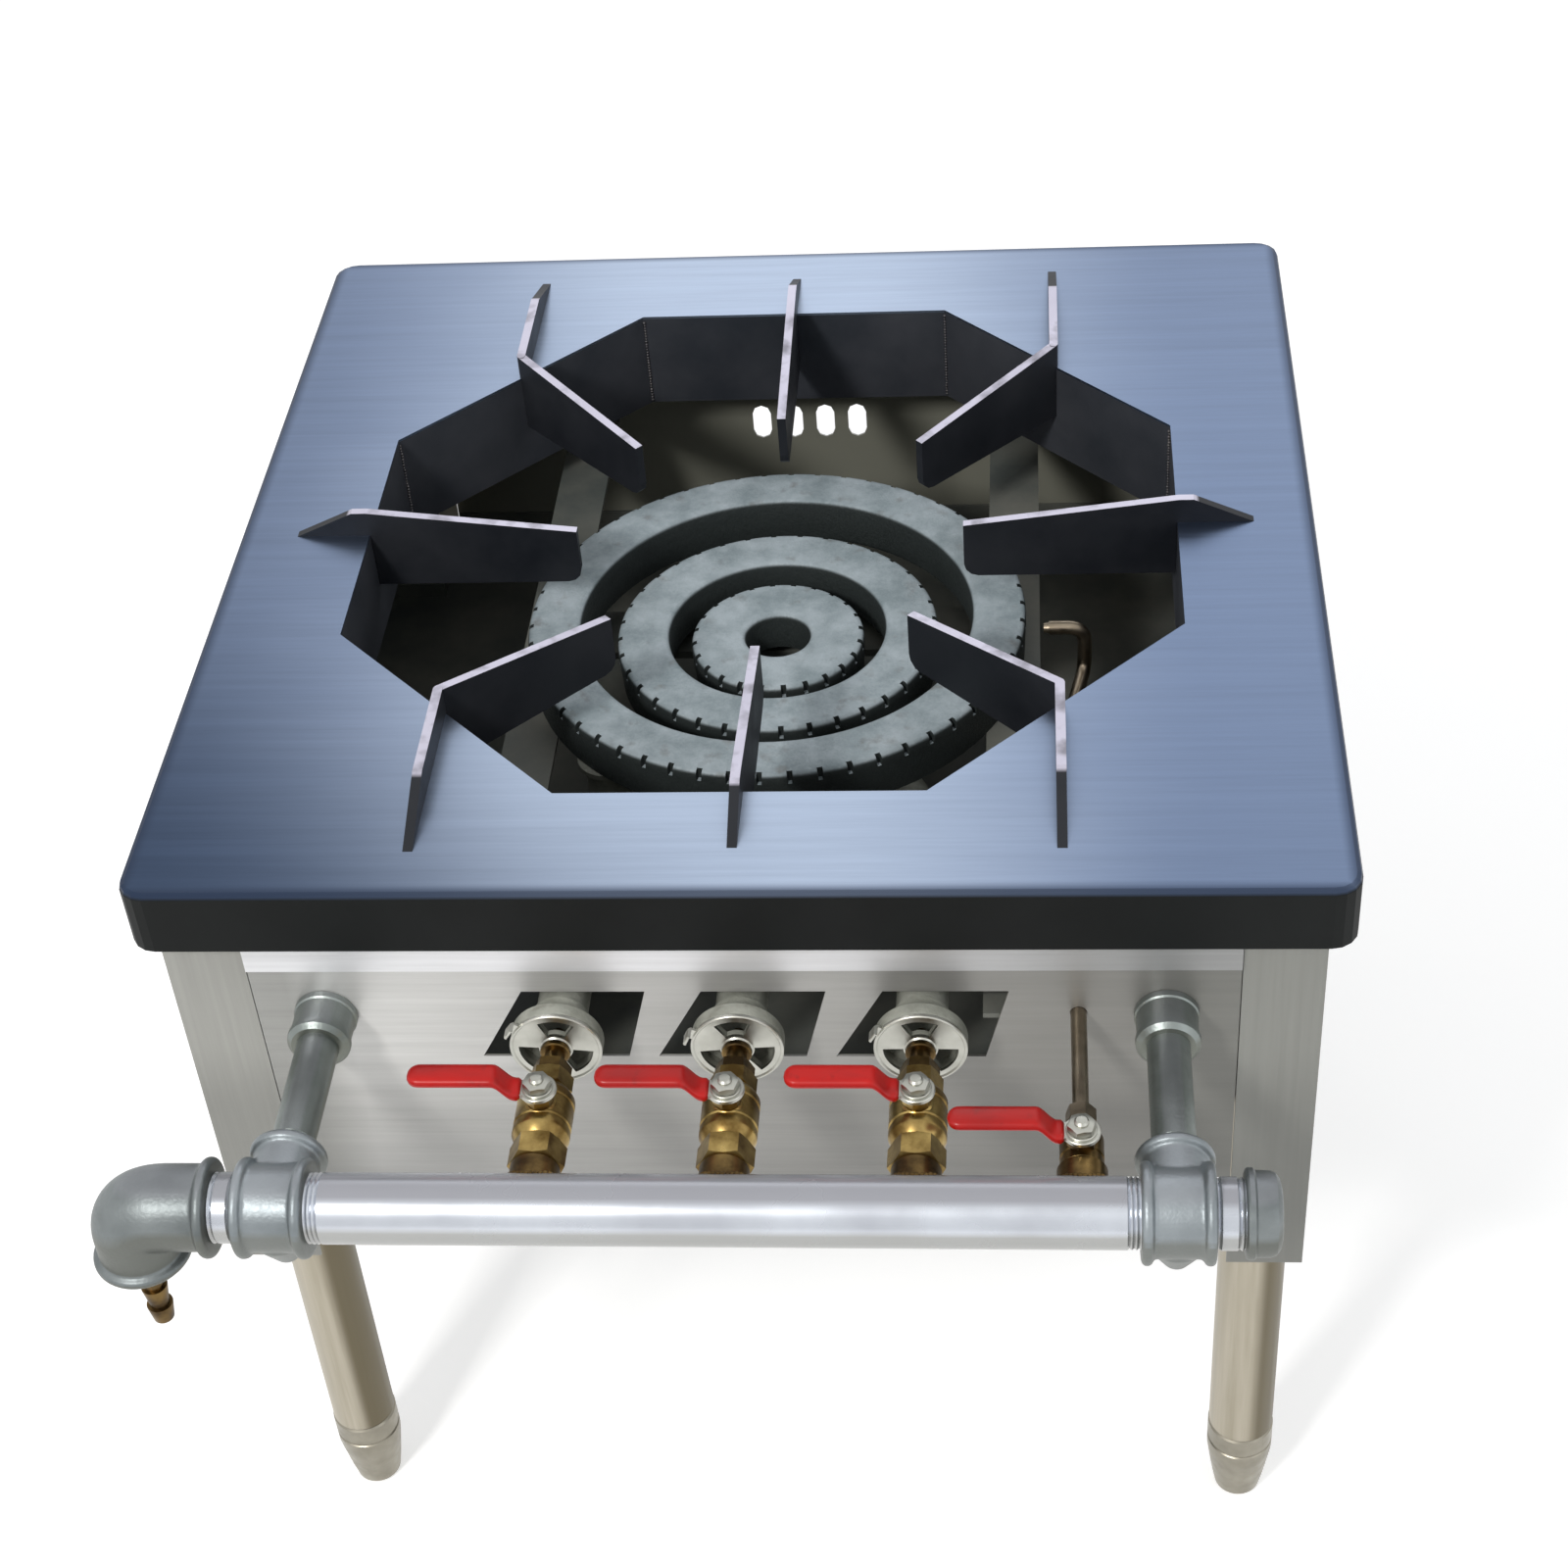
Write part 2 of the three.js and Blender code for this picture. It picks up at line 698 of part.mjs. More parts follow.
piece('corner_post_front_left', cornerPost(-1, frontFace), 'stainless');
piece('corner_post_front_right', cornerPost(1, frontFace), 'stainless');
piece('corner_post_back_left', cornerPost(-1, backFace), 'stainless');
piece('corner_post_back_right', cornerPost(1, backFace), 'stainless');
piece('front_panel', frontPanel(), 'stainless');
piece('back_panel', backPanel(), 'stainless');
piece('left_panel', sidePanel(-1), 'stainless');
piece('right_panel', sidePanel(1), 'stainless');
piece('base_tray', baseTray(), 'black_steel');

// ---------------------------------------------------------------- legs and feet

function leg(x, y) {
  const inside = legRadius - legWall;
  const plugTop = legBottom + legPlug;
  const stemHole = runningHole(footStem / 2);
  const profile = [
    [legBottom, stemHole],
    [legBottom, legRadius],
    [legTop, legRadius],
    [legTop, inside],
    [plugTop, inside],
    [plugTop, stemHole],
    [legBottom, stemHole],
  ];
  return turned(profile, 'z', [x, y, 0]);
}

// A bullet foot on a screwed stem
function foot(x, y) {
  const stemTop = footHeight + footStemLength;
  const profile = [
    [0, 0],
    [0, footFlat],
    [footHeight - footCollar, legRadius],
    [footHeight, legRadius],
    [footHeight, footStem / 2],
    [stemTop, footStem / 2],
    [stemTop, 0],
  ];
  return turned(profile, 'z', [x, y, 0]);
}

const corners = [
  ['front_left', -legX, legFrontY],
  ['front_right', legX, legFrontY],
  ['back_left', -legX, legBackY],
  ['back_right', legX, legBackY],
];
for (const [corner, x, y] of corners) {
  piece(`leg_${corner}`, leg(x, y), 'stainless');
  piece(`foot_${corner}`, foot(x, y), 'foot');
}

// ---------------------------------------------------------------- burners and their support

const ringTop = (ring) => topHeight - ring.drop;
const ringBottom = (ring) => ringTop(ring) - ring.height;
const ringMiddle = (ring) => (ring.inner + ring.outer) / 2;
const angleTop = ringBottom(outerRing);
const crossBarTop = ringBottom(innerRing) - innerPadHeight;
const crossBarFront = crossBarMiddle - crossBarWidth / 2;

// Where the mixing tubes come up under their rings
const outerInlet = [-valvePitch, -Math.sqrt(ringMiddle(outerRing) ** 2 - valvePitch ** 2)];
const middleInlet = [middleInletX, -Math.sqrt(ringMiddle(middleRing) ** 2 - middleInletX ** 2)];
const innerInlet = [0, -ringMiddle(innerRing)];

// A cast ring with a crown, rounded where the flame ports are cut, round its outer edge
function portedRing(ring) {
  const { inner, outer, ports, sides } = ring;
  const top = ringTop(ring);
  const bottom = ringBottom(ring);
  const shoulder = ringCrown / 3;
  const profile = [
    [bottom, inner + ringDraft],
    [bottom, outer - ringDraft],
    [top - ringCrown, outer],
    [top - shoulder, outer - shoulder],
    [top, outer - ringCrown],
    [top, inner + ringCrown],
    [top - ringCrown, inner],
    [bottom, inner + ringDraft],
  ];
  const slots = Array.from({ length: ports }, (_, i) => {
    const slot = new THREE.BoxGeometry(2 * portDepth, portWidth, 2 * portDepth);
    slot.translate(outer, 0, top - ringCrown / 2);
    slot.rotateZ(((i + 0.5) * 2 * Math.PI) / ports);
    return solidFrom(slot);
  });
  return cut(turned(profile, 'z', [0, 0, 0], sides), ...slots);
}

function inletHole(ring, [x, y]) {
  const bottom = ringBottom(ring);
  return rod(tubeBore, bottom - overcut, bottom + inletDepth, 'z', [x, y, 0], smallSides);
}

// A foot that stands on the cross bar under a ring
function ringPad(ring, x, y) {
  return rod(padRadius, crossBarTop, ringBottom(ring) + padRoot, 'z', [x, y, 0], smallSides);
}

function outerBurner() {
  return cut(portedRing(outerRing), inletHole(outerRing, outerInlet));
}

function middleBurner() {
  const padX = Math.sqrt(ringMiddle(middleRing) ** 2 - crossBarMiddle ** 2);
  const pads = [-padX, padX].map((x) => ringPad(middleRing, x, crossBarMiddle));
  return cut(join(portedRing(middleRing), ...pads), inletHole(middleRing, middleInlet));
}

function innerBurner() {
  const pad = ringPad(innerRing, 0, crossBarFront + padRadius + padInset);
  return cut(join(portedRing(innerRing), pad), inletHole(innerRing, innerInlet));
}

// Two angle bars from front panel to back panel, joined by a cross bar
function burnerSupport() {
  const barBottom = crossBarTop - crossBarThickness;
  const from = frontFace + sheet;
  const to = backFace - sheet;
  const outer = outerRing.outer + angleReach;
  const angles = [-1, 1].flatMap((side) => {
    const edge = side * outer;
    const flangeEdge = edge - side * angleFlange;
    const webFace = edge - side * angleThickness;
    return [
      block(edge, flangeEdge, from, to, angleTop - angleThickness, angleTop),
      block(edge, webFace, from, to, barBottom, angleTop),
    ];
  });
  const reach = outer - angleThickness / 2;
  const barBack = crossBarFront + crossBarWidth;
  return join(...angles, block(-reach, reach, crossBarFront, barBack, barBottom, crossBarTop));
}

piece('outer_ring_burner', outerBurner(), 'cast_iron');
piece('middle_ring_burner', middleBurner(), 'cast_iron');
piece('inner_ring_burner', innerBurner(), 'cast_iron');
piece('burner_support_frame', burnerSupport(), 'black_steel');

// ---------------------------------------------------------------- mixing tubes and shutters

// A window in the shutter, as an outline in (x, z) about the gas axis
function windowOutline(x, from) {
  const { inner, outer, degrees, steps } = shutterWindow;
  const arc = (radius) => Array.from({ length: steps + 1 }, (_, i) => {
    const angle = THREE.MathUtils.degToRad(from + (degrees * i) / steps);
    return [x + radius * Math.cos(angle), gasHeight + radius * Math.sin(angle)];
  });
  return [...arc(outer), ...arc(inner).reverse()];
}

// Cutting tools for all the windows, the first of them at firstDegrees
function windows(x, firstDegrees, start, depth) {
  return Array.from({ length: shutterWindow.count }, (_, i) => {
    const middle = firstDegrees + (i * 360) / shutterWindow.count;
    return prism(windowOutline(x, middle - shutterWindow.degrees / 2), depth, 'y', start);
  });
}

// From the bell straight back, down to the low run, along to the ring and up into it
function tubePath(x, [inletX, inletY], start, top) {
  const low = topHeight - tubeLowDrop;
  const path = [
    new THREE.Vector3(x, start, gasHeight),
    new THREE.Vector3(x, frontFace + tubeLead, gasHeight),
    new THREE.Vector3(x, frontFace + tubeDropEnd, low),
    new THREE.Vector3(x, inletY - tubeFeed, low),
    new THREE.Vector3(inletX, inletY, low),
    new THREE.Vector3(inletX, inletY, top),
  ];
  return roundedPath(path, tubeBend, tubeBendSteps);
}

// The bell's curve [along, radius], from its rim to its neck on the tube
function bellCurve(wall) {
  const neck = tubeRadius + bellSwell;
  return Array.from({ length: bellSteps + 1 }, (_, i) => {
    const share = i / bellSteps;
    const along = bellY + bellRim + share * (bellLength - bellRim);
    return [along, neck + (shutterRadius - neck) * (1 - share) ** 2 - wall];
  });
}

function mixingTube(x, inlet, ring, windowDegrees) {
  const axis = [x, 0, gasHeight];
  const top = ringBottom(ring) - gap;
  const faceBack = bellY + bellFace;
  const bellEnd = bellY + bellLength;
  const outside = sweep(tubePath(x, inlet, faceBack, top - overcut), tubeRadius, tubeSides);
  const bore = sweep(tubePath(x, inlet, bellY + bellRim, top + overcut), tubeBore, boreSides);
  const bell = turned(
    [[bellY, 0], [bellY, shutterRadius], ...bellCurve(0), [bellEnd, 0]],
    'y',
    axis,
  );
  const throat = turned(
    [[faceBack, 0], [faceBack, shutterRadius - bellWall], ...bellCurve(bellWall), [bellEnd, 0]],
    'y',
    axis,
    boreSides,
  );
  const flange = rod(tubeFlange, top - tubeFlangeThickness, top, 'z', [...inlet, 0]);
  const hub = rod(injectorNeck + gap, bellY - overcut, faceBack + overcut, 'y', axis);
  return cut(
    join(outside, bell, flange),
    throat,
    bore,
    hub,
    ...windows(x, windowDegrees, bellY - overcut, bellFace + 2 * overcut),
  );
}

// The shutter turns about the injector's neck; its tab stands at the rim between two windows
function airShutter(x, windowDegrees) {
  const axis = [x, 0, gasHeight];
  const hole = runningHole(injectorNeck);
  const back = shutterY + shutterThickness;
  const disc = turned(
    [
      [shutterY, hole],
      [shutterY, shutterRadius - shutterChamfer],
      [shutterY + shutterChamfer, shutterRadius],
      [back, shutterRadius],
      [back, hole],
      [shutterY, hole],
    ],
    'y',
    axis,
  );
  const tab = new THREE.BoxGeometry(
    shutterTab.width,
    shutterThickness + shutterTab.reach,
    shutterTab.height,
  );
  tab.translate(0, back - (shutterThickness + shutterTab.reach) / 2, shutterRadius);
  const tabDegrees = windowDegrees + 180 / shutterWindow.count;
  tab.rotateY(THREE.MathUtils.degToRad(90 - tabDegrees));
  tab.translate(x, 0, gasHeight);
  const depth = shutterThickness + 2 * overcut;
  return join(
    cut(disc, ...windows(x, windowDegrees, shutterY - overcut, depth)),
    solidFrom(tab),
  );
}

// A hexagon screwed into the valve, a neck that carries the shutter and a drilled tip
function injector(x) {
  const axis = [x, 0, gasHeight];
  const hexEnd = valveEnd + injectorHex.length;
  const tip = bellY + injectorNose;
  const neck = turned(
    [
      [hexEnd - overcut, 0],
      [hexEnd - overcut, injectorNeck],
      [tip - injectorTaper, injectorNeck],
      [tip, injectorTip],
      [tip, 0],
    ],
    'y',
    axis,
  );
  const retainerBack = shutterY - gap;
  return cut(
    join(
      hexBar(injectorHex.flats, valveEnd, hexEnd, 'y', axis),
      neck,
      rod(retainer.radius, retainerBack - retainer.length, retainerBack, 'y', axis),
    ),
    rod(injectorBore, valveEnd - overcut, tip + overcut, 'y', axis, smallSides),
  );
}

// Each valve's line: the ring that it feeds and the angle of its shutter's first window
const burnerLines = [
  { label: 'left', x: -valvePitch, inlet: outerInlet, ring: outerRing, turn: 85 },
  { label: 'middle', x: 0, inlet: innerInlet, ring: innerRing, turn: 95 },
  { label: 'right', x: valvePitch, inlet: middleInlet, ring: middleRing, turn: 90 },
];
for (const { label, x, inlet, ring, turn } of burnerLines) {
  piece(`mixing_tube_${label}`, mixingTube(x, inlet, ring, turn), 'cast_iron');
  piece(`air_shutter_${label}`, airShutter(x, turn), 'cast_iron');
  piece(`injector_${label}`, injector(x), 'brass');
}

// ---------------------------------------------------------------- valves

function stemHole(x, y, top) {
  const bottom = top - leverStem.length;
  const radius = runningHole(leverStem.radius, smallSides);
  return rod(radius, bottom, top + overcut, 'z', [x, y, 0], smallSides);
}

function stemBossSolid(x, y, top) {
  return rod(stemBoss.radius, gasHeight, top, 'z', [x, y, 0]);
}

// A turned valve barrel between two hexagons, with the stem's boss on top
function valveBody(x) {
  const axis = [x, 0, gasHeight];
  const { radius, length, shoulder, taper } = valveBarrel;
  const start = bossFace + valveRearHex.length;
  const end = start + length;
  const barrel = turned(
    [
      [start, 0],
      [start, shoulder],
      [start + taper, radius],
      [end - taper, radius],
      [end, shoulder],
      [end, 0],
    ],
    'y',
    axis,
  );
  return cut(
    join(
      barrel,
      hexBar(valveRearHex.flats, bossFace, start, 'y', axis),
      hexBar(valveFrontHex.flats, end, valveEnd, 'y', axis),
      stemBossSolid(x, stemY, stemTop),
    ),
    rod(gasway, bossFace - overcut, valveEnd + overcut, 'y', axis, smallSides),
    stemHole(x, stemY, stemTop),
  );
}

function pilotValveBody() {
  const axis = [pilotX, 0, gasHeight];
  const barrelEnd = bossFace + pilotBarrel.length;
  return cut(
    join(
      rod(pilotBarrel.radius, bossFace, barrelEnd, 'y', axis),
      hexBar(pilotHex.flats, barrelEnd, pilotValveEnd, 'y', axis),
      stemBossSolid(pilotX, pilotStemY, pilotStemTop),
    ),
    rod(pilotWay, bossFace - overcut, pilotValveEnd + overcut, 'y', axis, smallSides),
    stemHole(pilotX, pilotStemY, pilotStemTop),
  );
}

// The lever's side view [x, z] at some thickness: level, stepped up, and level again
function leverSection(from, to, middle, thickness) {
  const half = thickness / 2;
  const mitre = half * Math.tan(Math.atan2(lever.step, lever.bendLength) / 2);
  const edge = (side) => [
    [-from, middle + side * half],
    [side * mitre - lever.bendStart, middle + side * half],
    [side * mitre - lever.bendStart - lever.bendLength, middle + lever.step + side * half],
    [-to, middle + lever.step + side * half],
  ];
  return [...edge(1), ...edge(-1).reverse()];
}

// The lever's plan: straight sides and a round end
function leverPlan() {
  const half = lever.width / 2;
  const end = Array.from({ length: leverEndSteps + 1 }, (_, i) => {
    const angle = Math.PI / 2 + (i / leverEndSteps) * Math.PI;
    return [half - lever.length + half * Math.cos(angle), half * Math.sin(angle)];
  });
  return [[-lever.sleeveStart, -half], [-lever.sleeveStart, half], ...end];
}

// A flat steel lever on the valve's stem, dipped in vinyl beyond the hub
function leverSolid(x, y, bossTop) {
  const base = bossTop + gap;
  const place = [x, y, 0];
  const middle = base + lever.strip / 2;
  const { sleeveStart, width, length, thickness, step } = lever;
  const side = prism(
    leverSection(sleeveStart, length, middle, thickness),
    width,
    'y',
    -width / 2,
    place,
  );
  const plan = prism(leverPlan(), step + 2 * thickness, 'z', middle - thickness, place);
  const stemRoot = base + leverStem.root;
  return join(
    side.intersect(plan),
    block(x - lever.bendStart, x, y - lever.bare / 2, y + lever.bare / 2, base, base + lever.strip),
    rod(leverHub, base, base + lever.strip, 'z', place),
    rod(leverStem.radius, stemRoot - leverStem.length, stemRoot, 'z', place, smallSides),
    hexBar(leverNut.flats, base, base + lever.strip + leverNut.height, 'z', place),
  );
}

for (const { label, x } of burnerLines) {
  piece(`valve_body_${label}`, valveBody(x), 'brass');
  piece(`valve_lever_${label}`, leverSolid(x, stemY, stemTop), 'red_vinyl');
}
piece('pilot_valve_body', pilotValveBody(), 'brass');
piece('pilot_lever', leverSolid(pilotX, pilotStemY, pilotStemTop), 'red_vinyl');

// The pilot's tube runs back, turns up beside the burner and points at the outer ring
function pilotTubeSolid() {
  const riserX = pilotX + pilotJog;
  const top = ringTop(outerRing) + pilotOverRing;
  const tip = outerRing.outer + pilotFromRing;
  const path = [
    new THREE.Vector3(pilotX, pilotValveEnd + overcut, gasHeight),
    new THREE.Vector3(pilotX, pilotRiserY - pilotJogLength, gasHeight),
    new THREE.Vector3(riserX, pilotRiserY, gasHeight),
    new THREE.Vector3(riserX, pilotRiserY, top),
    new THREE.Vector3(tip, pilotRiserY, top),
  ];
  const unionEnd = pilotValveEnd + pilotUnion.length;
  return join(
    sweep(roundedPath(path, pilotBend, pilotBendSteps), pilotTube / 2, smallSides),
    hexBar(pilotUnion.flats, pilotValveEnd, unionEnd, 'y', [pilotX, 0, gasHeight]),
  );
}

piece('pilot_tube', pilotTubeSolid(), 'galvanised');

// ---------------------------------------------------------------- manifold and fittings

function manifoldPipe() {
  const axis = [0, manifoldY, gasHeight];
  const end = railX - teeHalf + socketDepth - gap;
  const outlets = [...valveXs, pilotX];
  const bossStart = manifoldY + pipeRadius - bossRoot;
  const bosses = outlets.map((x) =>
    rod(bossRadius, bossStart, bossFace, 'y', [x, 0, gasHeight]));
  const ways = outlets.map((x) =>
    rod(gasway, manifoldY, bossFace + overcut, 'y', [x, 0, gasHeight], smallSides));
  return cut(
    join(rod(pipeRadius, -end, end, 'x', axis), ...bosses),
    rod(pipeRadius - pipeWall, -end - overcut, end + overcut, 'x', axis),
    ...ways,
  );
}

// A tee with a pointed lower side: its run lies along x, its branch goes back to the rail
function tee(x) {
  const centre = [x, manifoldY, gasHeight];
  const mouths = [-1, 1].map((side) =>
    rod(beadRadius, side * teeHalf, side * (teeHalf - beadWidth), 'x', centre));
  const sockets = [-1, 1].map((side) =>
    rod(fitRadius, side * (teeHalf - socketDepth), side * (teeHalf + overcut), 'x', centre));
  const point = turned(
    [
      [-teePoint.reach, 0],
      [-teePoint.reach, teePoint.tip],
      [-teePoint.start, teePoint.root],
      [0, teePoint.root],
      [0, 0],
    ],
    'z',
    centre,
  );
  return cut(
    join(
      rod(teeRadius, -teeHalf, teeHalf, 'x', centre),
      ...mouths,
      rod(branchRadius, 0, teeBranch, 'y', centre),
      point,
    ),
    ...sockets,
    rod(fittingBore, -teeHalf, teeHalf, 'x', centre),
    rod(railRadius + gap, teeBranch - socketDepth, teeBranch + overcut, 'y', centre),
    rod(railBore, 0, teeBranch, 'y', centre, smallSides),
  );
}

// A rail pipe from its tee through the front panel, held by a coupling and a locknut
function rail(x) {
  const axis = [x, 0, gasHeight];
  const start = manifoldY + teeBranch - socketDepth + gap;
  const end = frontFace + sheet + railThrough;
  const socketStart = frontFace - railSocket.length;
  const socket = turned(
    [
      [socketStart, 0],
      [socketStart, railSocket.radius - railSocket.chamfer],
      [socketStart + railSocket.chamfer, railSocket.radius],
      [frontFace, railSocket.radius],
      [frontFace, 0],
    ],
    'y',
    axis,
  );
  const nutStart = frontFace + sheet;
  return cut(
    join(
      rod(railRadius, start, end, 'y', axis),
      socket,
      hexBar(railNut.flats, nutStart, nutStart + railNut.height, 'y', axis),
    ),
    rod(railBore, start - overcut, end - railWall, 'y', axis, smallSides),
  );
}

function closeNipple() {
  const axis = [0, manifoldY, gasHeight];
  const from = elbowX + elbowArm - socketDepth + gap;
  const to = -railX - teeHalf + socketDepth - gap;
  return cut(
    rod(pipeRadius, from, to, 'x', axis),
    rod(pipeRadius - pipeWall, from - overcut, to + overcut, 'x', axis),
  );
}

// An elbow that turns the gas line from the nipple down to the hose
function elbow() {
  const centre = [elbowX, manifoldY, gasHeight];
  const way = (across, down) => {
    const path = [[across, 0], [0, 0], [0, -down]];
    const points = path.map(([x, z]) => new THREE.Vector3(elbowX + x, manifoldY, gasHeight + z));
    return roundedPath(points, elbowBend, elbowBendSteps);
  };
  const mouth = elbowArm - overcut;
  const lowMouth = elbowDrop - overcut;
  return cut(
    join(
      sweep(way(mouth, lowMouth), elbowRadius, roundSides),
      rod(beadRadius, elbowArm - beadWidth, elbowArm, 'x', centre),
      rod(beadRadius, -elbowDrop, beadWidth - elbowDrop, 'z', centre),
    ),
    sweep(way(mouth, lowMouth), fittingBore, smallSides),
    rod(fitRadius, elbowArm - socketDepth, elbowArm + overcut, 'x', centre),
    rod(bushRadius + gap, -elbowDrop - overcut, socketDepth - elbowDrop, 'z', centre),
  );
}

// A brass bush screwed up into the elbow, with a barbed tail for the hose
function hoseNipple() {
  const centre = [elbowX, manifoldY, 0];
  const mouth = gasHeight - elbowDrop;
  const hexBottom = mouth - bushHeight;
  const pitch = barbLength / barbCount;
  const root = barbRadius - barbStep;
  const tail = [[hexBottom + overcut, 0], [hexBottom + overcut, root]];
  for (let i = 0; i < barbCount; i += 1) {
    const top = hexBottom - i * pitch;
    tail.push([top - barbLead, root], [top - barbLead, barbRadius], [top - pitch, root]);
  }
  tail.push([hexBottom - barbLength, 0]);
  return cut(
    join(
      rod(bushRadius, mouth - overcut, mouth + socketDepth - gap, 'z', centre),
      hexBar(bushFlats, hexBottom, mouth, 'z', centre),
      turned(tail, 'z', centre),
    ),
    rod(barbBore, hexBottom - barbLength - overcut, mouth + socketDepth, 'z', centre, smallSides),
  );
}

// The right-hand tee is closed by a short pipe with a domed cap
function endPlug() {
  const start = railX + teeHalf - socketDepth + gap;
  const capStart = railX + teeHalf + capNeck;
  const capEnd = capStart + cap.length;
  const profile = [
    [start, 0],
    [start, pipeRadius],
    [capStart, pipeRadius],
    [capStart, cap.radius],
    [capEnd - cap.round, cap.radius],
    [capEnd, cap.radius - 2 * cap.round],
    [capEnd, 0],
  ];
  return turned(profile, 'x', [0, manifoldY, gasHeight]);
}

piece('manifold_pipe', manifoldPipe(), 'galvanised');
piece('tee_left', tee(-railX), 'galvanised');
piece('tee_right', tee(railX), 'galvanised');
piece('rail_left', rail(-railX), 'galvanised');
piece('rail_right', rail(railX), 'galvanised');
piece('close_nipple', closeNipple(), 'galvanised');
piece('inlet_elbow', elbow(), 'galvanised');
piece('hose_nipple', hoseNipple(), 'brass');
piece('end_plug', endPlug(), 'galvanised');

const middle = new THREE.Box3().setFromObject(group).getCenter(new THREE.Vector3());
group.position.set(-middle.x, -middle.y, 0);

export default group;
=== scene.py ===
"""Looks of the stock pot range: fine pieces, materials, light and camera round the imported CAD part.

Metres, +Z up, the valves face -Y. Places come from the CAD nodes' boxes, and sizes that no box shows
are named below as in the part. A fine piece keeps inside the node that it replaces and rides on the
same body.
"""

import math
import random

import bmesh
import bpy
from mathutils import Matrix, Vector


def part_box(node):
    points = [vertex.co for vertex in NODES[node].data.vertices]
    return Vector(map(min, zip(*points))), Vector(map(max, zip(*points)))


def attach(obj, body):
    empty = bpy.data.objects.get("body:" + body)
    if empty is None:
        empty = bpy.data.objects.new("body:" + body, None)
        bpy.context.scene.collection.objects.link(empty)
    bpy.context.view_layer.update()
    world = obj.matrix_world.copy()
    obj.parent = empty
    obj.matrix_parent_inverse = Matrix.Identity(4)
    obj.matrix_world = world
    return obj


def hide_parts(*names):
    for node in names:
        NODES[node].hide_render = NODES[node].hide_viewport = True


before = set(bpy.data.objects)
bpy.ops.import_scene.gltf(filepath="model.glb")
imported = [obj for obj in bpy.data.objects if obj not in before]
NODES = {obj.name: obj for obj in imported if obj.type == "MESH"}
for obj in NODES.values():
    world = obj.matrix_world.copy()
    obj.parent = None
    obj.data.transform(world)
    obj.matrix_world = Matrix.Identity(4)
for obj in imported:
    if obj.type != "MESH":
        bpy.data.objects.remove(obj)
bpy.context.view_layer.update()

MM = 0.001


def middle(node):
    low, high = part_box(node)
    return (low + high) / 2


def mm(points, along=0.0, across=0.0):
    """Points given in millimetres from a place along the axis and a distance from it."""
    return [(along + a * MM, across + b * MM) for a, b in points]


# ---------------- places taken from the CAD

PLATE_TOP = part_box("top_plate")[1].z
CENTRE = Vector((middle("top_plate").x, middle("top_plate").y, PLATE_TOP))
FRONT_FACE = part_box("corner_post_front_left")[0].y
BACK_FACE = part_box("corner_post_back_left")[1].y
LEFT_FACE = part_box("left_panel")[0].x
RIGHT_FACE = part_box("right_panel")[1].x
HALF_HOLE = 225.5 * MM      # half the distance across the octagon's flats

GAS_Z = middle("close_nipple").z
MANIFOLD_Y = middle("close_nipple").y
PIPE_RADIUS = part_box("close_nipple")[1].z - GAS_Z
RAIL_RADIUS = 10.65 * MM
BELL_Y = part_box("mixing_tube_left")[0].y
SHUTTER_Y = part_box("air_shutter_left")[1].y - 2 * MM

LINES = ("left", "middle", "right")
VALVE_X = {line: middle(f"injector_{line}").x for line in LINES}
STEM_Y = middle("valve_lever_left").y
PILOT_X = middle("pilot_valve_body").x
PILOT_STEM_Y = middle("pilot_lever").y
CORNERS = ("front_left", "front_right", "back_left", "back_right")

# Each ring's inner radius and height in mm, its flame ports, and its pads' places in mm
RINGS = {
    "outer_ring_burner": (112, 28, 54, []),
    "middle_ring_burner": (62, 26, 36, [(-58.5, 50), (58.5, 50)]),
    "inner_ring_burner": (18.5, 24, 24, [(0, 37)]),
}
# Each gas line's inlet in mm: its place from the plate's middle, and its ring's underside below the plate
INLETS = {"left": (-90, -90.3, 89), "middle": (0, -34.5, 100), "right": (60, -48.3, 97)}
TUBE_RUN_DEPTH = 133 * MM

# The windows of the bells and shutters: the middle of each line's first one and their width in degrees
WINDOW_TURN = {"left": 85, "middle": 95, "right": 90}
WINDOW_SWEEP = 58
WINDOW_RADII = (8.5 * MM, 18.5 * MM)

SEATING_GAP = 0.3 * MM
HALF_BEAD = 2.7 * MM        # of the beads round the mouths of tees and elbow
BEAD_RISE = 3.2 * MM


# ---------------- camera

# The photograph's viewpoint, fitted to corners of the plate, its hole and rim, and the posts
VIEW_ELEVATION = math.radians(40.52)
VIEW_AZIMUTH = math.radians(6.81)
VIEW_ROLL = math.radians(4.89)
VIEW_FROM_PLATE = Vector((0.1470, -1.2624, 0.8974))     # from the middle of the plate's face
LENS = 63.9


def add_camera():
    ca, sa = math.cos(VIEW_AZIMUTH), math.sin(VIEW_AZIMUTH)
    ce, se = math.cos(VIEW_ELEVATION), math.sin(VIEW_ELEVATION)
    forward = Vector((-sa * ce, ca * ce, -se))
    level = Vector((ca, sa, 0))
    down = forward.cross(level)
    right = math.cos(VIEW_ROLL) * level + math.sin(VIEW_ROLL) * down
    below = -math.sin(VIEW_ROLL) * level + math.cos(VIEW_ROLL) * down
    turn = Matrix((right, -below, -forward)).transposed().to_4x4()
    data = bpy.data.cameras.new("camera")
    data.sensor_width = 36
    data.lens = LENS
    data.clip_start, data.clip_end = 0.05, 50
    camera = bpy.data.objects.new("camera", data)
    camera.matrix_world = Matrix.Translation(CENTRE + VIEW_FROM_PLATE) @ turn
    bpy.context.scene.collection.objects.link(camera)
    bpy.context.scene.camera = camera


# ---------------- materials

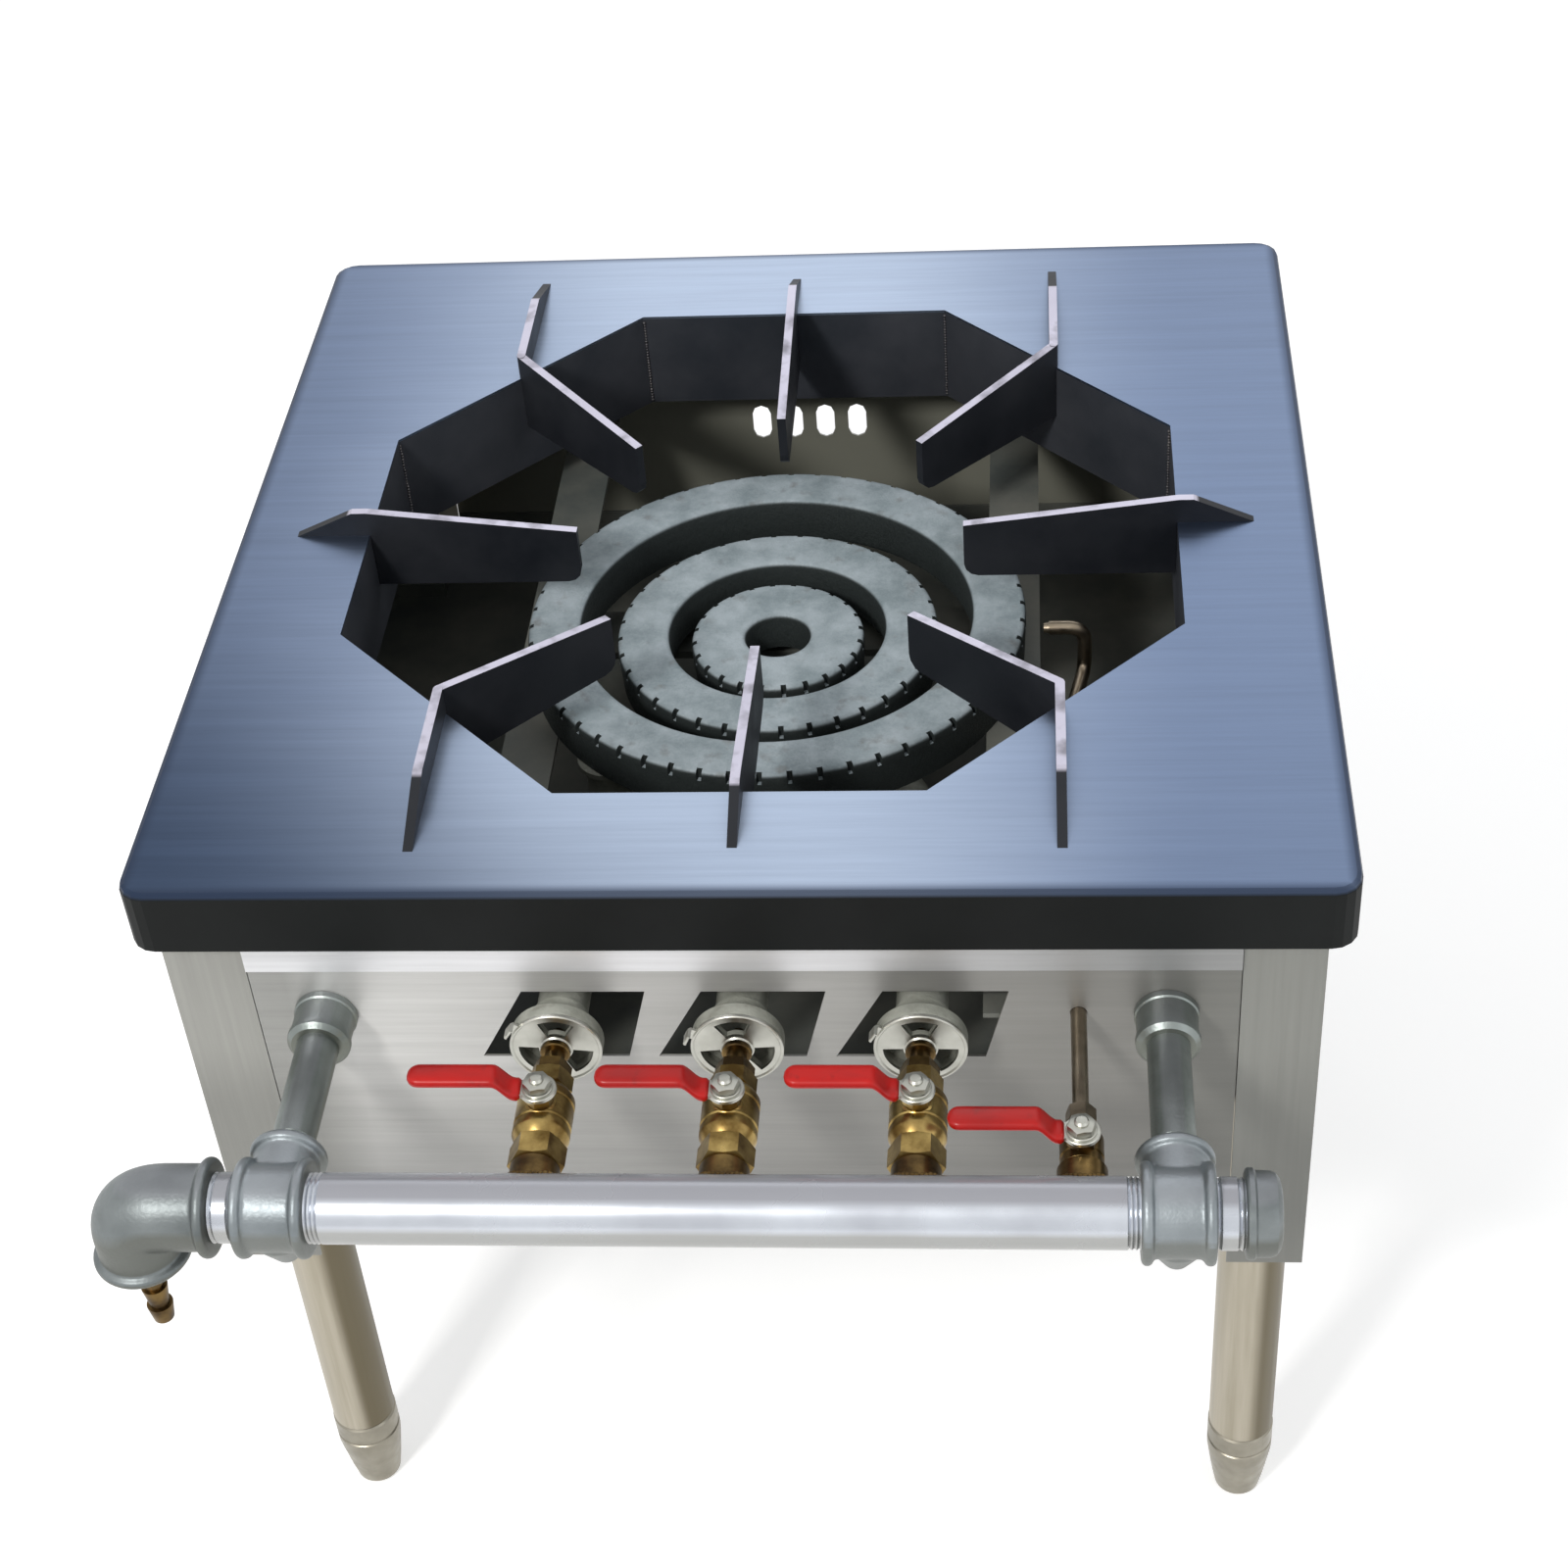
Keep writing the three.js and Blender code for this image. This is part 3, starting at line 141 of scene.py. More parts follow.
class Finish:
    """A Principled material with short calls for the nodes that drive it. The colour and the
    roughness that it starts with show where no node drives them."""

    def __init__(self, name, colour, roughness, metallic=0.0, **sockets):
        self.material = bpy.data.materials.new(name)
        self.material.use_nodes = True
        self.tree = self.material.node_tree
        self.shader = self.tree.nodes["Principled BSDF"]
        self.material.diffuse_color = (*colour, 1)
        self.set("Base Color", colour)
        self.set("Roughness", roughness)
        self.set("Metallic", metallic)
        for socket, value in sockets.items():
            self.set(socket.replace("_", " "), value)
        self.coords = self.tree.nodes.new("ShaderNodeTexCoord").outputs["Object"]

    def feed(self, socket, value):
        if isinstance(value, bpy.types.NodeSocket):
            self.tree.links.new(value, socket)
        elif isinstance(value, (tuple, list)) and len(value) == 3 and socket.type == "RGBA":
            socket.default_value = (*value, 1)
        else:
            socket.default_value = value

    def set(self, socket, value):
        self.feed(self.shader.inputs[socket], value)

    def node(self, kind, inputs=None, **settings):
        made = self.tree.nodes.new("ShaderNode" + kind)
        for name, value in settings.items():
            setattr(made, name, value)
        for name, value in (inputs or {}).items():
            self.feed(made.inputs[name], value)
        return made

    def noise(self, scale, detail, stretch=(1, 1, 1), roughness=0.5):
        """Noise over the object's coordinates, stretched along the axes."""
        place = self.node("Mapping", {"Vector": self.coords, "Scale": stretch}).outputs[0]
        made = self.node("TexNoise", {
            "Vector": place, "Scale": scale, "Detail": detail, "Roughness": roughness})
        return made.outputs["Fac"]

    def along(self, axis):
        return self.node("SeparateXYZ", {0: self.coords}).outputs[axis]

    def from_centre(self, axis):
        """The distance along an axis from the middle of the plate."""
        return self.maths("SUBTRACT", self.along(axis), CENTRE["XYZ".index(axis)])

    def facing(self, axis):
        """The component of the surface's own normal along an axis of the frame."""
        geometry = self.node("NewGeometry")
        return self.node("SeparateXYZ", {0: geometry.outputs["Normal"]}).outputs[axis]

    def ranged(self, value, low, high, to_low=0.0, to_high=1.0, smooth=False):
        kind = "SMOOTHSTEP" if smooth else "LINEAR"
        made = self.node("MapRange", {
            "Value": value, "From Min": low, "From Max": high, "To Min": to_low, "To Max": to_high},
            interpolation_type=kind)
        return made.outputs["Result"]

    def spread(self, noise, to_low=0.0, to_high=1.0):
        """A noise's usual span, 0.3 to 0.7, stretched to another."""
        return self.ranged(noise, 0.3, 0.7, to_low, to_high)

    def drift(self, noise, size):
        """A noise about 0, which lets a border wander."""
        return self.maths("MULTIPLY", self.maths("SUBTRACT", noise, 0.5), size)

    def summed(self, a, b, weight):
        return self.maths("ADD", a, self.maths("MULTIPLY", b, weight))

    def maths(self, operation, a, b=0.0):
        return self.node("Math", {0: a, 1: b}, operation=operation).outputs[0]

    def mixed(self, factor, a, b, blend="MIX"):
        made = self.node("Mix", data_type="RGBA", blend_type=blend)
        for socket, value in zip([made.inputs[0], made.inputs[6], made.inputs[7]], [factor, a, b]):
            self.feed(socket, value)
        return made.outputs[2]

    def bump(self, height, distance, strength):
        made = self.node("Bump", {"Height": height, "Distance": distance, "Strength": strength})
        self.set("Normal", made.outputs[0])


def srgb(*levels):
    """A colour given by its 0 to 255 screen levels."""
    return tuple(((v / 255 + 0.055) / 1.055) ** 2.4 if v > 10 else v / 255 / 12.92 for v in levels)


def dimmed(colour, shares):
    """A colour whose red, green and blue are each taken down to a share."""
    return tuple(c * share for c, share in zip(colour, shares))


def top_plate_finish():
    """Bluish brushed steel with painted reflection and shade: bright along the middle, darker at the sides,
    towards the low left corner and along the outer edge, with a black rim.
    """
    f = Finish("plate_steel", srgb(150, 165, 195), 0.34, 1.0, Specular_IOR_Level=0.15)
    streaks = f.noise(160, 5, stretch=(0.03, 1, 1), roughness=0.7)
    fine = f.noise(900, 2, stretch=(0.02, 1, 1))
    clouds = f.noise(4, 3, stretch=(0.8, 1, 1))
    x, y = f.from_centre("X"), f.from_centre("Y")
    # Painted reflection and shade: the sides and the low left corner are darker, the middle bright.
    side = f.maths("ADD", f.maths("ABSOLUTE", f.maths("ADD", x, 0.03)), f.drift(clouds, 0.12))
    shade_mask = f.ranged(side, 0.05, 0.275, smooth=True)
    corner = f.maths("SUBTRACT", f.maths("MULTIPLY", x, -0.8), y)
    low_left_shade = f.ranged(corner, 0.26, 0.52, 0.0, 0.8, smooth=True)
    even = f.mixed(shade_mask, srgb(155, 167, 186), srgb(102, 116, 141))
    toned = f.mixed(low_left_shade, even, srgb(44, 60, 84))
    light = f.mixed(f.spread(streaks), srgb(232, 232, 232), srgb(255, 255, 255))
    brushed = f.mixed(1.0, toned, light, "MULTIPLY")
    # Painted shade: a darker band along the plate's outer edge.
    out = f.maths("MAXIMUM", f.maths("ABSOLUTE", x), f.maths("ABSOLUTE", y))
    edge = f.ranged(out, 0.291, 0.2985, 0.0, 0.8, smooth=True)
    tinted = f.mixed(edge, brushed, srgb(48, 58, 78))
    face = f.ranged(f.along("Z"), PLATE_TOP - 2.9 * MM, PLATE_TOP - 1.3 * MM)
    rim = f.mixed(f.noise(30, 4), srgb(12, 14, 14), srgb(24, 27, 27))
    f.set("Base Color", f.mixed(face, rim, tinted))
    f.set("Metallic", face)
    f.set("Roughness", f.mixed(face, (0.55,) * 3, f.mixed(streaks, (0.3,) * 3, (0.46,) * 3)))
    f.bump(f.summed(streaks, fine, 0.6), 0.04 * MM, 0.4)
    return f.material


def sheet_finish(name, light, dark, grain, fade=(-0.4, 0.4), inside=None, strip=None):
    """Satin sheet steel with painted shade: it fades from light to dark between two places along X and
    darkens towards the bottom;
    inside is (axis, sign, face), and what lies behind that face is painted darker as shade; strip is a
    painted highlight band's height, and with it both ends are painted darker as shade."""
    metallic = 0.4
    f = Finish(name, light, 0.38, metallic)
    stretch = [1.0, 1.0, 1.0]
    stretch["XYZ".index(grain)] = 0.025
    streaks = f.noise(260, 5, stretch=tuple(stretch), roughness=0.7)
    clouds = f.noise(5, 3)
    drift = f.drift(clouds, 0.2)
    place = f.maths("ADD", f.along("X"), drift)
    # Painted shade: light to dark along X.
    shade = f.mixed(f.ranged(place, *fade, smooth=True), light, dark)
    # Painted shade: darker towards the bottom.
    low_shade = f.ranged(f.summed(f.along("Z"), drift, 0.3), 0.43, 0.375, 0.0, 0.4, smooth=True)
    shade = f.mixed(low_shade, shade, dimmed(dark, [0.55] * 3))
    if strip:
        # Painted shade: both ends of the panel are darker.
        ends = f.ranged(f.maths("ABSOLUTE", f.from_centre("X")), 0.2, 0.228, 0.0, 0.6)
        shade = f.mixed(ends, shade, srgb(112, 113, 108))
        # A painted highlight band under the top edge, dimmer towards +X.
        raised = f.ranged(f.along("Z"), strip, strip + 1.5 * MM)
        highlight_falloff = f.ranged(place, fade[0] + 0.15, fade[1] + 0.05, smooth=True)
        painted_highlight_band = f.mixed(highlight_falloff, srgb(238, 239, 242), srgb(158, 159, 159))
        shade = f.mixed(raised, shade, painted_highlight_band)
    grained = f.mixed(f.spread(streaks, 0, 0.16), shade, srgb(104, 105, 102))
    f.set("Base Color", grained)
    f.set("Roughness", f.spread(streaks, 0.32, 0.46))
    if inside:
        # Painted shade: behind the face the sheet is darker, mottled and not metallic.
        axis, sign, face = inside
        depth = f.maths("MULTIPLY", f.maths("SUBTRACT", f.along(axis), face), sign)
        hidden = f.ranged(depth, 1.0 * MM, 1.3 * MM)
        darkening = f.mixed(clouds, srgb(120, 121, 112), srgb(160, 160, 146))
        f.set("Base Color", f.mixed(hidden, grained, darkening))
        f.set("Metallic", f.ranged(hidden, 0, 1, metallic, 0))
    f.bump(streaks, 0.03 * MM, 0.4)
    return f.material


def black_finish(name, dark, light, worn_edges=False):
    """Heat-proof black paint with soot; worn bright along upward edges inside the well."""
    f = Finish(name, dark, 0.5, 0.0, Specular_IOR_Level=0.25)
    clouds = f.noise(14, 5, roughness=0.6)
    grit = f.noise(900, 2)
    black = f.mixed(f.spread(clouds), dark, light)
    f.set("Base Color", black)
    f.set("Roughness", f.spread(clouds, 0.4, 0.62))
    if worn_edges:
        squares = [f.maths("POWER", f.from_centre(axis), 2.0) for axis in "XY"]
        reach = f.maths("SQRT", f.maths("ADD", *squares))
        inner = f.ranged(reach, 0.237, 0.229)
        level = f.ranged(f.along("Z"), PLATE_TOP + 13.6 * MM, PLATE_TOP + 14.4 * MM)
        upward = f.ranged(f.facing("Z"), 0.55, 0.8)
        patches = f.ranged(f.noise(55, 4), 0.32, 0.5, 0.5, 1.0)
        tinted = f.maths("MULTIPLY", f.maths("MAXIMUM", inner, level), upward)
        tinted = f.maths("MULTIPLY", tinted, patches)
        f.set("Base Color", f.mixed(tinted, black, srgb(196, 193, 208)))
        f.set("Metallic", f.maths("MULTIPLY", tinted, 0.6))
    f.bump(f.summed(grit, clouds, 2.0), 0.08 * MM, 0.6)
    return f.material


def iron_finish(name, top_light, top_dark, side):
    """Sand-cast burner iron: what faces up is painted pale as light, the walls darker with painted shade over
    the iron's own dark colour, and some rust.
    """
    f = Finish(name, top_light, 0.62, 0.2)
    clouds = f.noise(40, 5, roughness=0.65)
    grit = f.noise(750, 3)
    pits = f.noise(260, 2)
    lit_top_mottle = f.mixed(f.ranged(clouds, 0.35, 0.65), top_dark, top_light)
    rust = f.ranged(f.noise(85, 4), 0.6, 0.75, 0, 0.4)
    rusty = f.mixed(rust, lit_top_mottle, srgb(88, 74, 58))
    # Painted light and shade: faces that look up take the pale top colours, the walls the darker side colour.
    upward = f.ranged(f.facing("Z"), 0.25, 0.8, smooth=True)
    oxide_and_wall_shade = f.mixed(clouds, dimmed(side, [0.6] * 3), side)
    f.set("Base Color", f.mixed(upward, oxide_and_wall_shade, rusty))
    f.set("Roughness", f.spread(grit, 0.5, 0.75))
    f.bump(f.maths("ADD", grit, f.summed(pits, clouds, 2.0)), 0.3 * MM, 0.8)
    return f.material


def silver_finish(name, dark, light, roughness, cast_skin):
    """Silver paint on smooth pipe, or on the rougher skin of castings; the top is painted greyer as a darker
    reflection, the underside darker as shade.
    """
    f = Finish(name, light, roughness, 0.8)
    clouds = f.noise(26, 4)
    grit = f.noise(600 if cast_skin else 240, 3)
    paint = f.mixed(f.ranged(clouds, 0.35, 0.65), dark, light)
    height = f.maths("ADD", f.facing("Z"), f.drift(clouds, 0.04))
    # Painted reflection: the top is greyer, standing in for a darker reflection.
    top_reflection_mask = f.ranged(height, 0.83, 0.92, 0.0, 0.3 if cast_skin else 0.9)
    with_top_reflection = f.mixed(top_reflection_mask, paint, srgb(160, 161, 168))
    # Painted shade: the underside is darker and warmer.
    shade_mask = f.ranged(height, 0.3, 0.1, 0.0, 0.85)
    f.set("Base Color", f.mixed(shade_mask, with_top_reflection, dimmed(light, (0.6, 0.57, 0.5))))
    f.set("Roughness", f.spread(grit if cast_skin else clouds, roughness, roughness + 0.05))
    if cast_skin:
        f.bump(f.maths("ADD", grit, clouds), 0.28 * MM, 0.5)
    else:
        # Less metallic on top, with the painted top reflection.
        f.set("Metallic", f.ranged(height, 0.7, 0.9, 0.8, 0.3))
        f.bump(grit, 0.002 * MM, 0.5)
    return f.material


def brass_finish(name, dark, light):
    f = Finish(name, light, 0.32, 1.0)
    clouds = f.noise(60, 4, roughness=0.6)
    f.set("Base Color", f.mixed(f.ranged(clouds, 0.35, 0.66), dark, light))
    f.set("Roughness", f.spread(clouds, 0.42, 0.26))
    f.bump(f.noise(600, 2), 0.05 * MM, 0.4)
    return f.material


def vinyl_finish():
    """Dipped red vinyl: a soft sheen, small flow marks and a little grime."""
    f = Finish("red_vinyl", srgb(200, 24, 22), 0.42, 0.0,
               Coat_Weight=0.12, Coat_Roughness=0.25, Specular_IOR_Level=0.35)
    flow = f.noise(60, 4, stretch=(0.35, 1, 1))
    red = f.mixed(f.ranged(flow, 0.35, 0.7), srgb(166, 12, 10), srgb(204, 20, 14))
    darkening = f.ranged(f.noise(140, 4), 0.6, 0.75, 0, 0.35)
    f.set("Base Color", f.mixed(darkening, red, srgb(110, 22, 18)))
    f.set("Roughness", f.spread(flow, 0.28, 0.46))
    f.bump(f.summed(flow, f.noise(420, 2), 0.4), 0.12 * MM, 0.6)
    return f.material


def plated_finish(name, dark, light):
    f = Finish(name, light, 0.34, 1.0)
    f.set("Base Color", f.mixed(f.noise(70, 4), dark, light))
    f.set("Roughness", f.spread(f.noise(160, 3), 0.28, 0.45))
    f.bump(f.noise(450, 2), 0.04 * MM, 0.4)
    return f.material


def leg_finish():
    """Satin stainless tube with a warm cast; its right side is painted darker as shade."""
    f = Finish("leg_steel", srgb(180, 172, 155), 0.36, 1.0)
    streaks = f.noise(150, 4, stretch=(1, 1, 0.04), roughness=0.6)
    # Painted shade: the faces that look towards +X are darker.
    right = f.ranged(f.facing("X"), 0.05, 0.5, 0.0, 0.88, smooth=True)
    warm = f.mixed(f.spread(streaks), srgb(158, 151, 134), srgb(186, 179, 164))
    f.set("Base Color", f.mixed(right, warm, srgb(96, 88, 68)))
    f.set("Roughness", f.spread(streaks, 0.3, 0.46))
    f.bump(streaks, 0.04 * MM, 0.5)
    return f.material


def weld_finish():
    f = Finish("weld_steel", srgb(96, 100, 112), 0.45, 0.9)
    f.set("Base Color", f.mixed(f.noise(90, 4), srgb(58, 60, 72), srgb(128, 124, 122)))
    f.set("Roughness", f.spread(f.noise(200, 3), 0.35, 0.6))
    f.bump(f.noise(800, 3), 0.1 * MM, 0.7)
    return f.material


# ---------------- mesh forms

AXES = {"X": (0, 1, 2), "Y": (1, 0, 2), "Z": (2, 0, 1)}     # along, across, up


def placed(origin, axis, along, across, up):
    """The point at three distances from an origin, the first of them along an axis."""
    point = Vector(origin)
    for i, distance in zip(AXES[axis], (along, across, up)):
        point[i] += distance
    return point


def around(origin, axis, along, radius, angle):
    """The point at a distance along an axis, and at a radius and an angle about it."""
    return placed(origin, axis, along, radius * math.cos(angle), radius * math.sin(angle))


def circle(count):
    """Angles in equal steps all the way round."""
    return [2 * math.pi * i / count for i in range(count)]


class Form:
    """One piece, gathered from closed forms that may run into each other."""

    def __init__(self):
        self.vertices = []
        self.faces = []

    def add(self, vertices, faces):
        first = len(self.vertices)
        self.vertices += [Vector(vertex) for vertex in vertices]
        self.faces += [[first + i for i in face] for face in faces]
        return self

    def rows(self, rows, closed_ends=True):
        """A skin over rows of points; a row of one point closes an end."""
        vertices = [point for row in rows for point in row]
        starts = [sum(len(row) for row in rows[:i]) for i in range(len(rows))]
        sides = max(len(row) for row in rows)
        faces = []
        for near, far, a, b in zip(rows, rows[1:], starts, starts[1:]):
            for i in range(sides):
                j = (i + 1) % sides
                face = [a + i % len(near), a + j % len(near), b + j % len(far), b + i % len(far)]
                face = list(dict.fromkeys(face))
                if len(face) > 2:
                    faces.append(face)
        if closed_ends:
            for row, start in ((rows[0], starts[0]), (rows[-1], starts[-1])):
                if len(row) > 2:
                    faces.append([start + i for i in range(len(row))])
        return self.add(vertices, faces)

    def turned(self, profile, axis, origin, sides=48):
        """Points (along, radius) turned about an axis; a radius of 0 closes an end."""
        rows = [[around(origin, axis, along, radius, angle) for angle in circle(sides if radius > 0 else 1)]
                for along, radius in profile]
        return self.rows(rows, closed_ends=False)

    def rod(self, radius, start, end, axis, origin, edge=0.0, sides=48):
        """A round bar whose ends have a small rounded edge."""
        way = math.copysign(1, end - start)
        profile = [(start, 0), (start, radius - edge), (start + way * edge, radius),
                   (end - way * edge, radius), (end, radius - edge), (end, 0)]
        return self.turned(profile, axis, origin, sides)

    def band(self, radius, place, half, axis, origin):
        """A bead with a round back round a pipe or a fitting's mouth."""
        steps, rise = 8, half * 0.8
        profile = [(place - half, 0)]
        for i in range(steps + 1):
            angle = math.pi * i / steps
            profile.append((place - half * math.cos(angle), radius - rise * (1 - math.sin(angle))))
        profile.append((place + half, 0))
        return self.turned(profile, axis, origin)

    def hexagon(self, flats, start, end, axis, origin, turn=0.0):
        """A nut or hexagon bar whose corners are turned off at both ends."""
        half, end_share = flats / 2, 0.93
        chamfer = math.copysign(0.055 * flats, end - start)
        rows = []
        for place, share, way in ((start, end_share, 0), (start, 1, 1), (end, 1, -1), (end, end_share, 0)):
            row = []
            for i in range(12):
                corner = i % 2 == 0
                radius = half / math.cos(math.pi / 6) if corner and share == 1 else half * share
                along = place + way * chamfer * (1.0 if corner else 0.25)
                row.append(around(origin, axis, along, radius, math.pi * i / 6 + turn))
            rows.append(row)
        return self.rows(rows)

    def prism(self, outline, start, end, axis, origin=(0, 0, 0)):
        """An outline (across, up) pushed along an axis."""
        return self.rows([[placed(origin, axis, along, u, v) for u, v in outline] for along in (start, end)])

    def swept(self, points, radius, sides=28):
        """A round bar that follows points."""
        steps = [(b - a).normalized() for a, b in zip(points, points[1:])]
        normal = Vector((1, 0, 0)) if abs(steps[0].x) < 0.9 else Vector((0, 0, 1))
        rows = []
        for i, point in enumerate(points):
            along = (steps[max(i - 1, 0)] + steps[min(i, len(steps) - 1)]).normalized()
            normal = (normal - along * normal.dot(along)).normalized()
            across = along.cross(normal)
            rows.append([point + radius * (normal * math.cos(a) + across * math.sin(a))
                         for a in circle(sides)])
        return self.rows(rows)

    def grid_disc(self, radii, angles, missing, start, end, axis, origin):
        """A flat disc of ring cells (angle, radius) with some cells left out."""
        count = len(angles)
        layer = count * len(radii)
        vertices = [around(origin, axis, along, radius, angle)
                    for along in (start, end) for angle in angles for radius in radii]
        cells = {(a, r) for a in range(count) for r in range(len(radii) - 1)} - missing
        faces = []
        for a, r in cells:
            here, beside = a * len(radii) + r, (a + 1) % count * len(radii) + r
            faces.append([here, beside, beside + 1, here + 1])
            faces.append([i + layer for i in faces[-1]])
            edges = {((a - 1) % count, r): (here, here + 1),
                     ((a + 1) % count, r): (beside, beside + 1),
                     (a, r - 1): (here, beside),
                     (a, r + 1): (here + 1, beside + 1)}
            for neighbour, (p, q) in edges.items():
                if neighbour not in cells:
                    faces.append([p, q, q + layer, p + layer])
        return self.add(vertices, faces)

    def welded(self, points, size, seed):
        """A row of overlapping blobs, as a weld's ripples, along points."""
        chance = random.Random(seed)
        for point in points:
            radius = size * chance.uniform(0.8, 1.15)
            place = point + Vector([chance.uniform(-0.12, 0.12) * size for _ in range(3)])
            profile = [(-radius, 0), (-0.6 * radius, 0.8 * radius), (0, radius),
                       (0.6 * radius, 0.8 * radius), (radius, 0)]
            self.turned(profile, "Z", place, 8)

    def stands_for(self, node, suffix, material, slot, body="range", sharp=32, bevel=None):
        """Makes the fine piece that is shown in place of a CAD node."""
        return self.made(f"{node}_{suffix}", material, slot, body, [node], sharp, bevel)

    def made(self, name, material, slot, body="range", replaces=(), sharp=32, bevel=None):
        """Makes the Blender object, which rides on its body."""
        mesh = bpy.data.meshes.new(name)
        mesh.from_pydata(self.vertices, [], self.faces)
        work = bmesh.new()
        work.from_mesh(mesh)
        bmesh.ops.remove_doubles(work, verts=work.verts, dist=1e-6)
        bmesh.ops.recalc_face_normals(work, faces=work.faces)
        work.to_mesh(mesh)
        work.free()
        mesh.materials.append(material)
        piece = bpy.data.objects.new(name, mesh)
        bpy.context.scene.collection.objects.link(piece)
        soften(piece, sharp, bevel)
        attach(piece, body)
        if replaces:
            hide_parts(*replaces)
        return piece


def soften(piece, sharp, bevel):
    """Smooth shading that breaks at sharp edges, which may be rounded off."""
    piece.data.shade_smooth()
    piece.data.set_sharp_from_angle(angle=math.radians(sharp))
    if bevel:
        modifier = piece.modifiers.new("edges", "BEVEL")
        modifier.width = bevel
        modifier.segments = 2
        modifier.limit_method = "ANGLE"
        modifier.angle_limit = math.radians(35)


def cast(piece):
    """Melts a casting's forms into one skin with soft corners."""
    remesh = piece.modifiers.new("skin", "REMESH")
    remesh.mode = "VOXEL"
    remesh.voxel_size = 0.8 * MM
    remesh.use_smooth_shade = True
    smooth = piece.modifiers.new("corners", "SMOOTH")
    smooth.factor = 0.6
    smooth.iterations = 6


def rounded(corners, reach, steps=8):
    """Points along straight lines with rounded corners."""
    points = [corners[0]]
    for before, corner, after in zip(corners, corners[1:], corners[2:]):
        near = corner + (before - corner).normalized() * min(reach, (before - corner).length / 2.1)
        far = corner + (after - corner).normalized() * min(reach, (after - corner).length / 2.1)
        for i in range(steps + 1):
            t = i / steps
            points.append(near * (1 - t) ** 2 + corner * (2 * t * (1 - t)) + far * t ** 2)
    return points + [corners[-1]]


def threads(start, end, radius, pitch=2.3 * MM, depth=0.9 * MM):
    """Profile points of a cut thread between two places along its axis."""
    count = max(1, round(abs(end - start) / pitch))
    step = (end - start) / count
    points = []
    for i in range(count):
        points += [(start + i * step, radius), (start + (i + 0.5) * step, radius - depth)]
    return points + [(end, radius)]


# ---------------- burners

def build_ring(name, material):
    """A cast ring with flame ports cut through its upper outer edge, and pads to stand on."""
    inner, height, ports, pads = RINGS[name]
    low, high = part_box(name)
    inner, outer = inner * MM, (high.x - low.x) / 2
    top = high.z
    bottom = top - height * MM
    depth, half_port, lip = 2.7 * MM, 1.1 * MM, 0.5 * MM
    plain = mm([(1, 0)], inner, bottom) + mm([(-1, 0)], outer, bottom)
    plain += mm([(0, -6.4), (0, -3.2), (-0.5, -1.5), (-1.5, -0.5), (-3.4, 0)], outer, top)
    plain += mm([(3.4, 0), (1.5, -0.5), (0.5, -1.5), (0, -3.2)], inner, top)
    cut = list(plain)
    cut[3:7] = mm([(0, -6.3), (0, -4), (-0.2, -1.2), (-0.4, 0)], outer - depth, top)
    half, edge = half_port / outer, lip / outer
    pitch = 2 * math.pi / ports
    rows = []
    for i in range(ports):
        port = (i + 0.5) * pitch
        for angle, profile in ((port - half - edge, plain), (port - half, cut), (port + half, cut),
                               (port + half + edge, plain), (port + pitch * 0.35, plain),
                               (port + pitch * 0.5, plain), (port + pitch * 0.65, plain)):
            rows.append([CENTRE + Vector((r * math.cos(angle), r * math.sin(angle), z - CENTRE.z))
                         for r, z in profile])
    ring = Form()
    ring.rows(rows + rows[:1], closed_ends=False)
    for x, y in pads:
        place = (CENTRE.x + x * MM, CENTRE.y + y * MM, 0)
        ring.rod(6 * MM, low.z, bottom + 2 * MM, "Z", place, 0.5 * MM, 24)
    ring.stands_for(name, "cast", material, "burner_iron", sharp=40)


def window_disc(form, radii, turn, start, end, origin):
    """A disc whose three windows lie between the second and third of its radii."""
    step = 2
    angles = [math.radians(turn - WINDOW_SWEEP / 2 + step * i) for i in range(360 // step)]
    missing = {(i, 1) for i in range(len(angles)) if (step * i) % 120 < WINDOW_SWEEP}
    form.grid_disc(radii, angles, missing, start, end, "Y", origin)


def bell_curve(neck, rim, start, end):
    """Profile points of a bell that widens from its neck towards the start."""
    steps = 8
    return [(start + (end - start) * i / steps, neck + (rim - neck) * (1 - i / steps) ** 2)
            for i in range(steps + 1)]


def build_mixing_tube(line, material):
    """The bell with its windows, the bent tube and the flange under the ring."""
    x, (inlet_x, inlet_y, inlet_depth) = VALVE_X[line], INLETS[line]
    origin = (x, BELL_Y, GAS_Z)
    tube = Form()
    outside = bell_curve(14.5 * MM, 23 * MM, 7 * MM, 20 * MM)
    inside = bell_curve(11 * MM, 19 * MM, 7 * MM, 19 * MM)
    shell = mm([(0.6, 20), (0, 21.4), (0.3, 22.5), (1.2, 23), (6, 23)]) + outside
    shell += mm([(20, 11)]) + inside[::-1] + mm([(2.8, 19), (0.6, 20)])
    tube.turned(shell, "Y", origin, 56)
    radii = (5.3 * MM, *WINDOW_RADII, 20.4 * MM)
    window_disc(tube, radii, WINDOW_TURN[line], 0.2 * MM, 3 * MM, origin)
    run = PLATE_TOP - TUBE_RUN_DEPTH
    end_x, end_y = CENTRE.x + inlet_x * MM, CENTRE.y + inlet_y * MM
    top = PLATE_TOP - inlet_depth * MM - SEATING_GAP
    corners = [Vector((x, BELL_Y + 17 * MM, GAS_Z)), Vector((x, FRONT_FACE + 38 * MM, GAS_Z)),
               Vector((x, FRONT_FACE + 104 * MM, run)), Vector((x, end_y - 60 * MM, run)),
               Vector((end_x, end_y, run)), Vector((end_x, end_y, top))]
    tube.swept(rounded(corners, 20 * MM), 13 * MM)
    flange = mm([(-5, 0), (-5, 15.8), (-4.2, 17), (-0.8, 17), (0, 16.2), (0, 0)])
    tube.turned(flange, "Z", (end_x, end_y, top), 40)
    tube.stands_for(f"mixing_tube_{line}", "cast", material, "burner_iron", sharp=38)


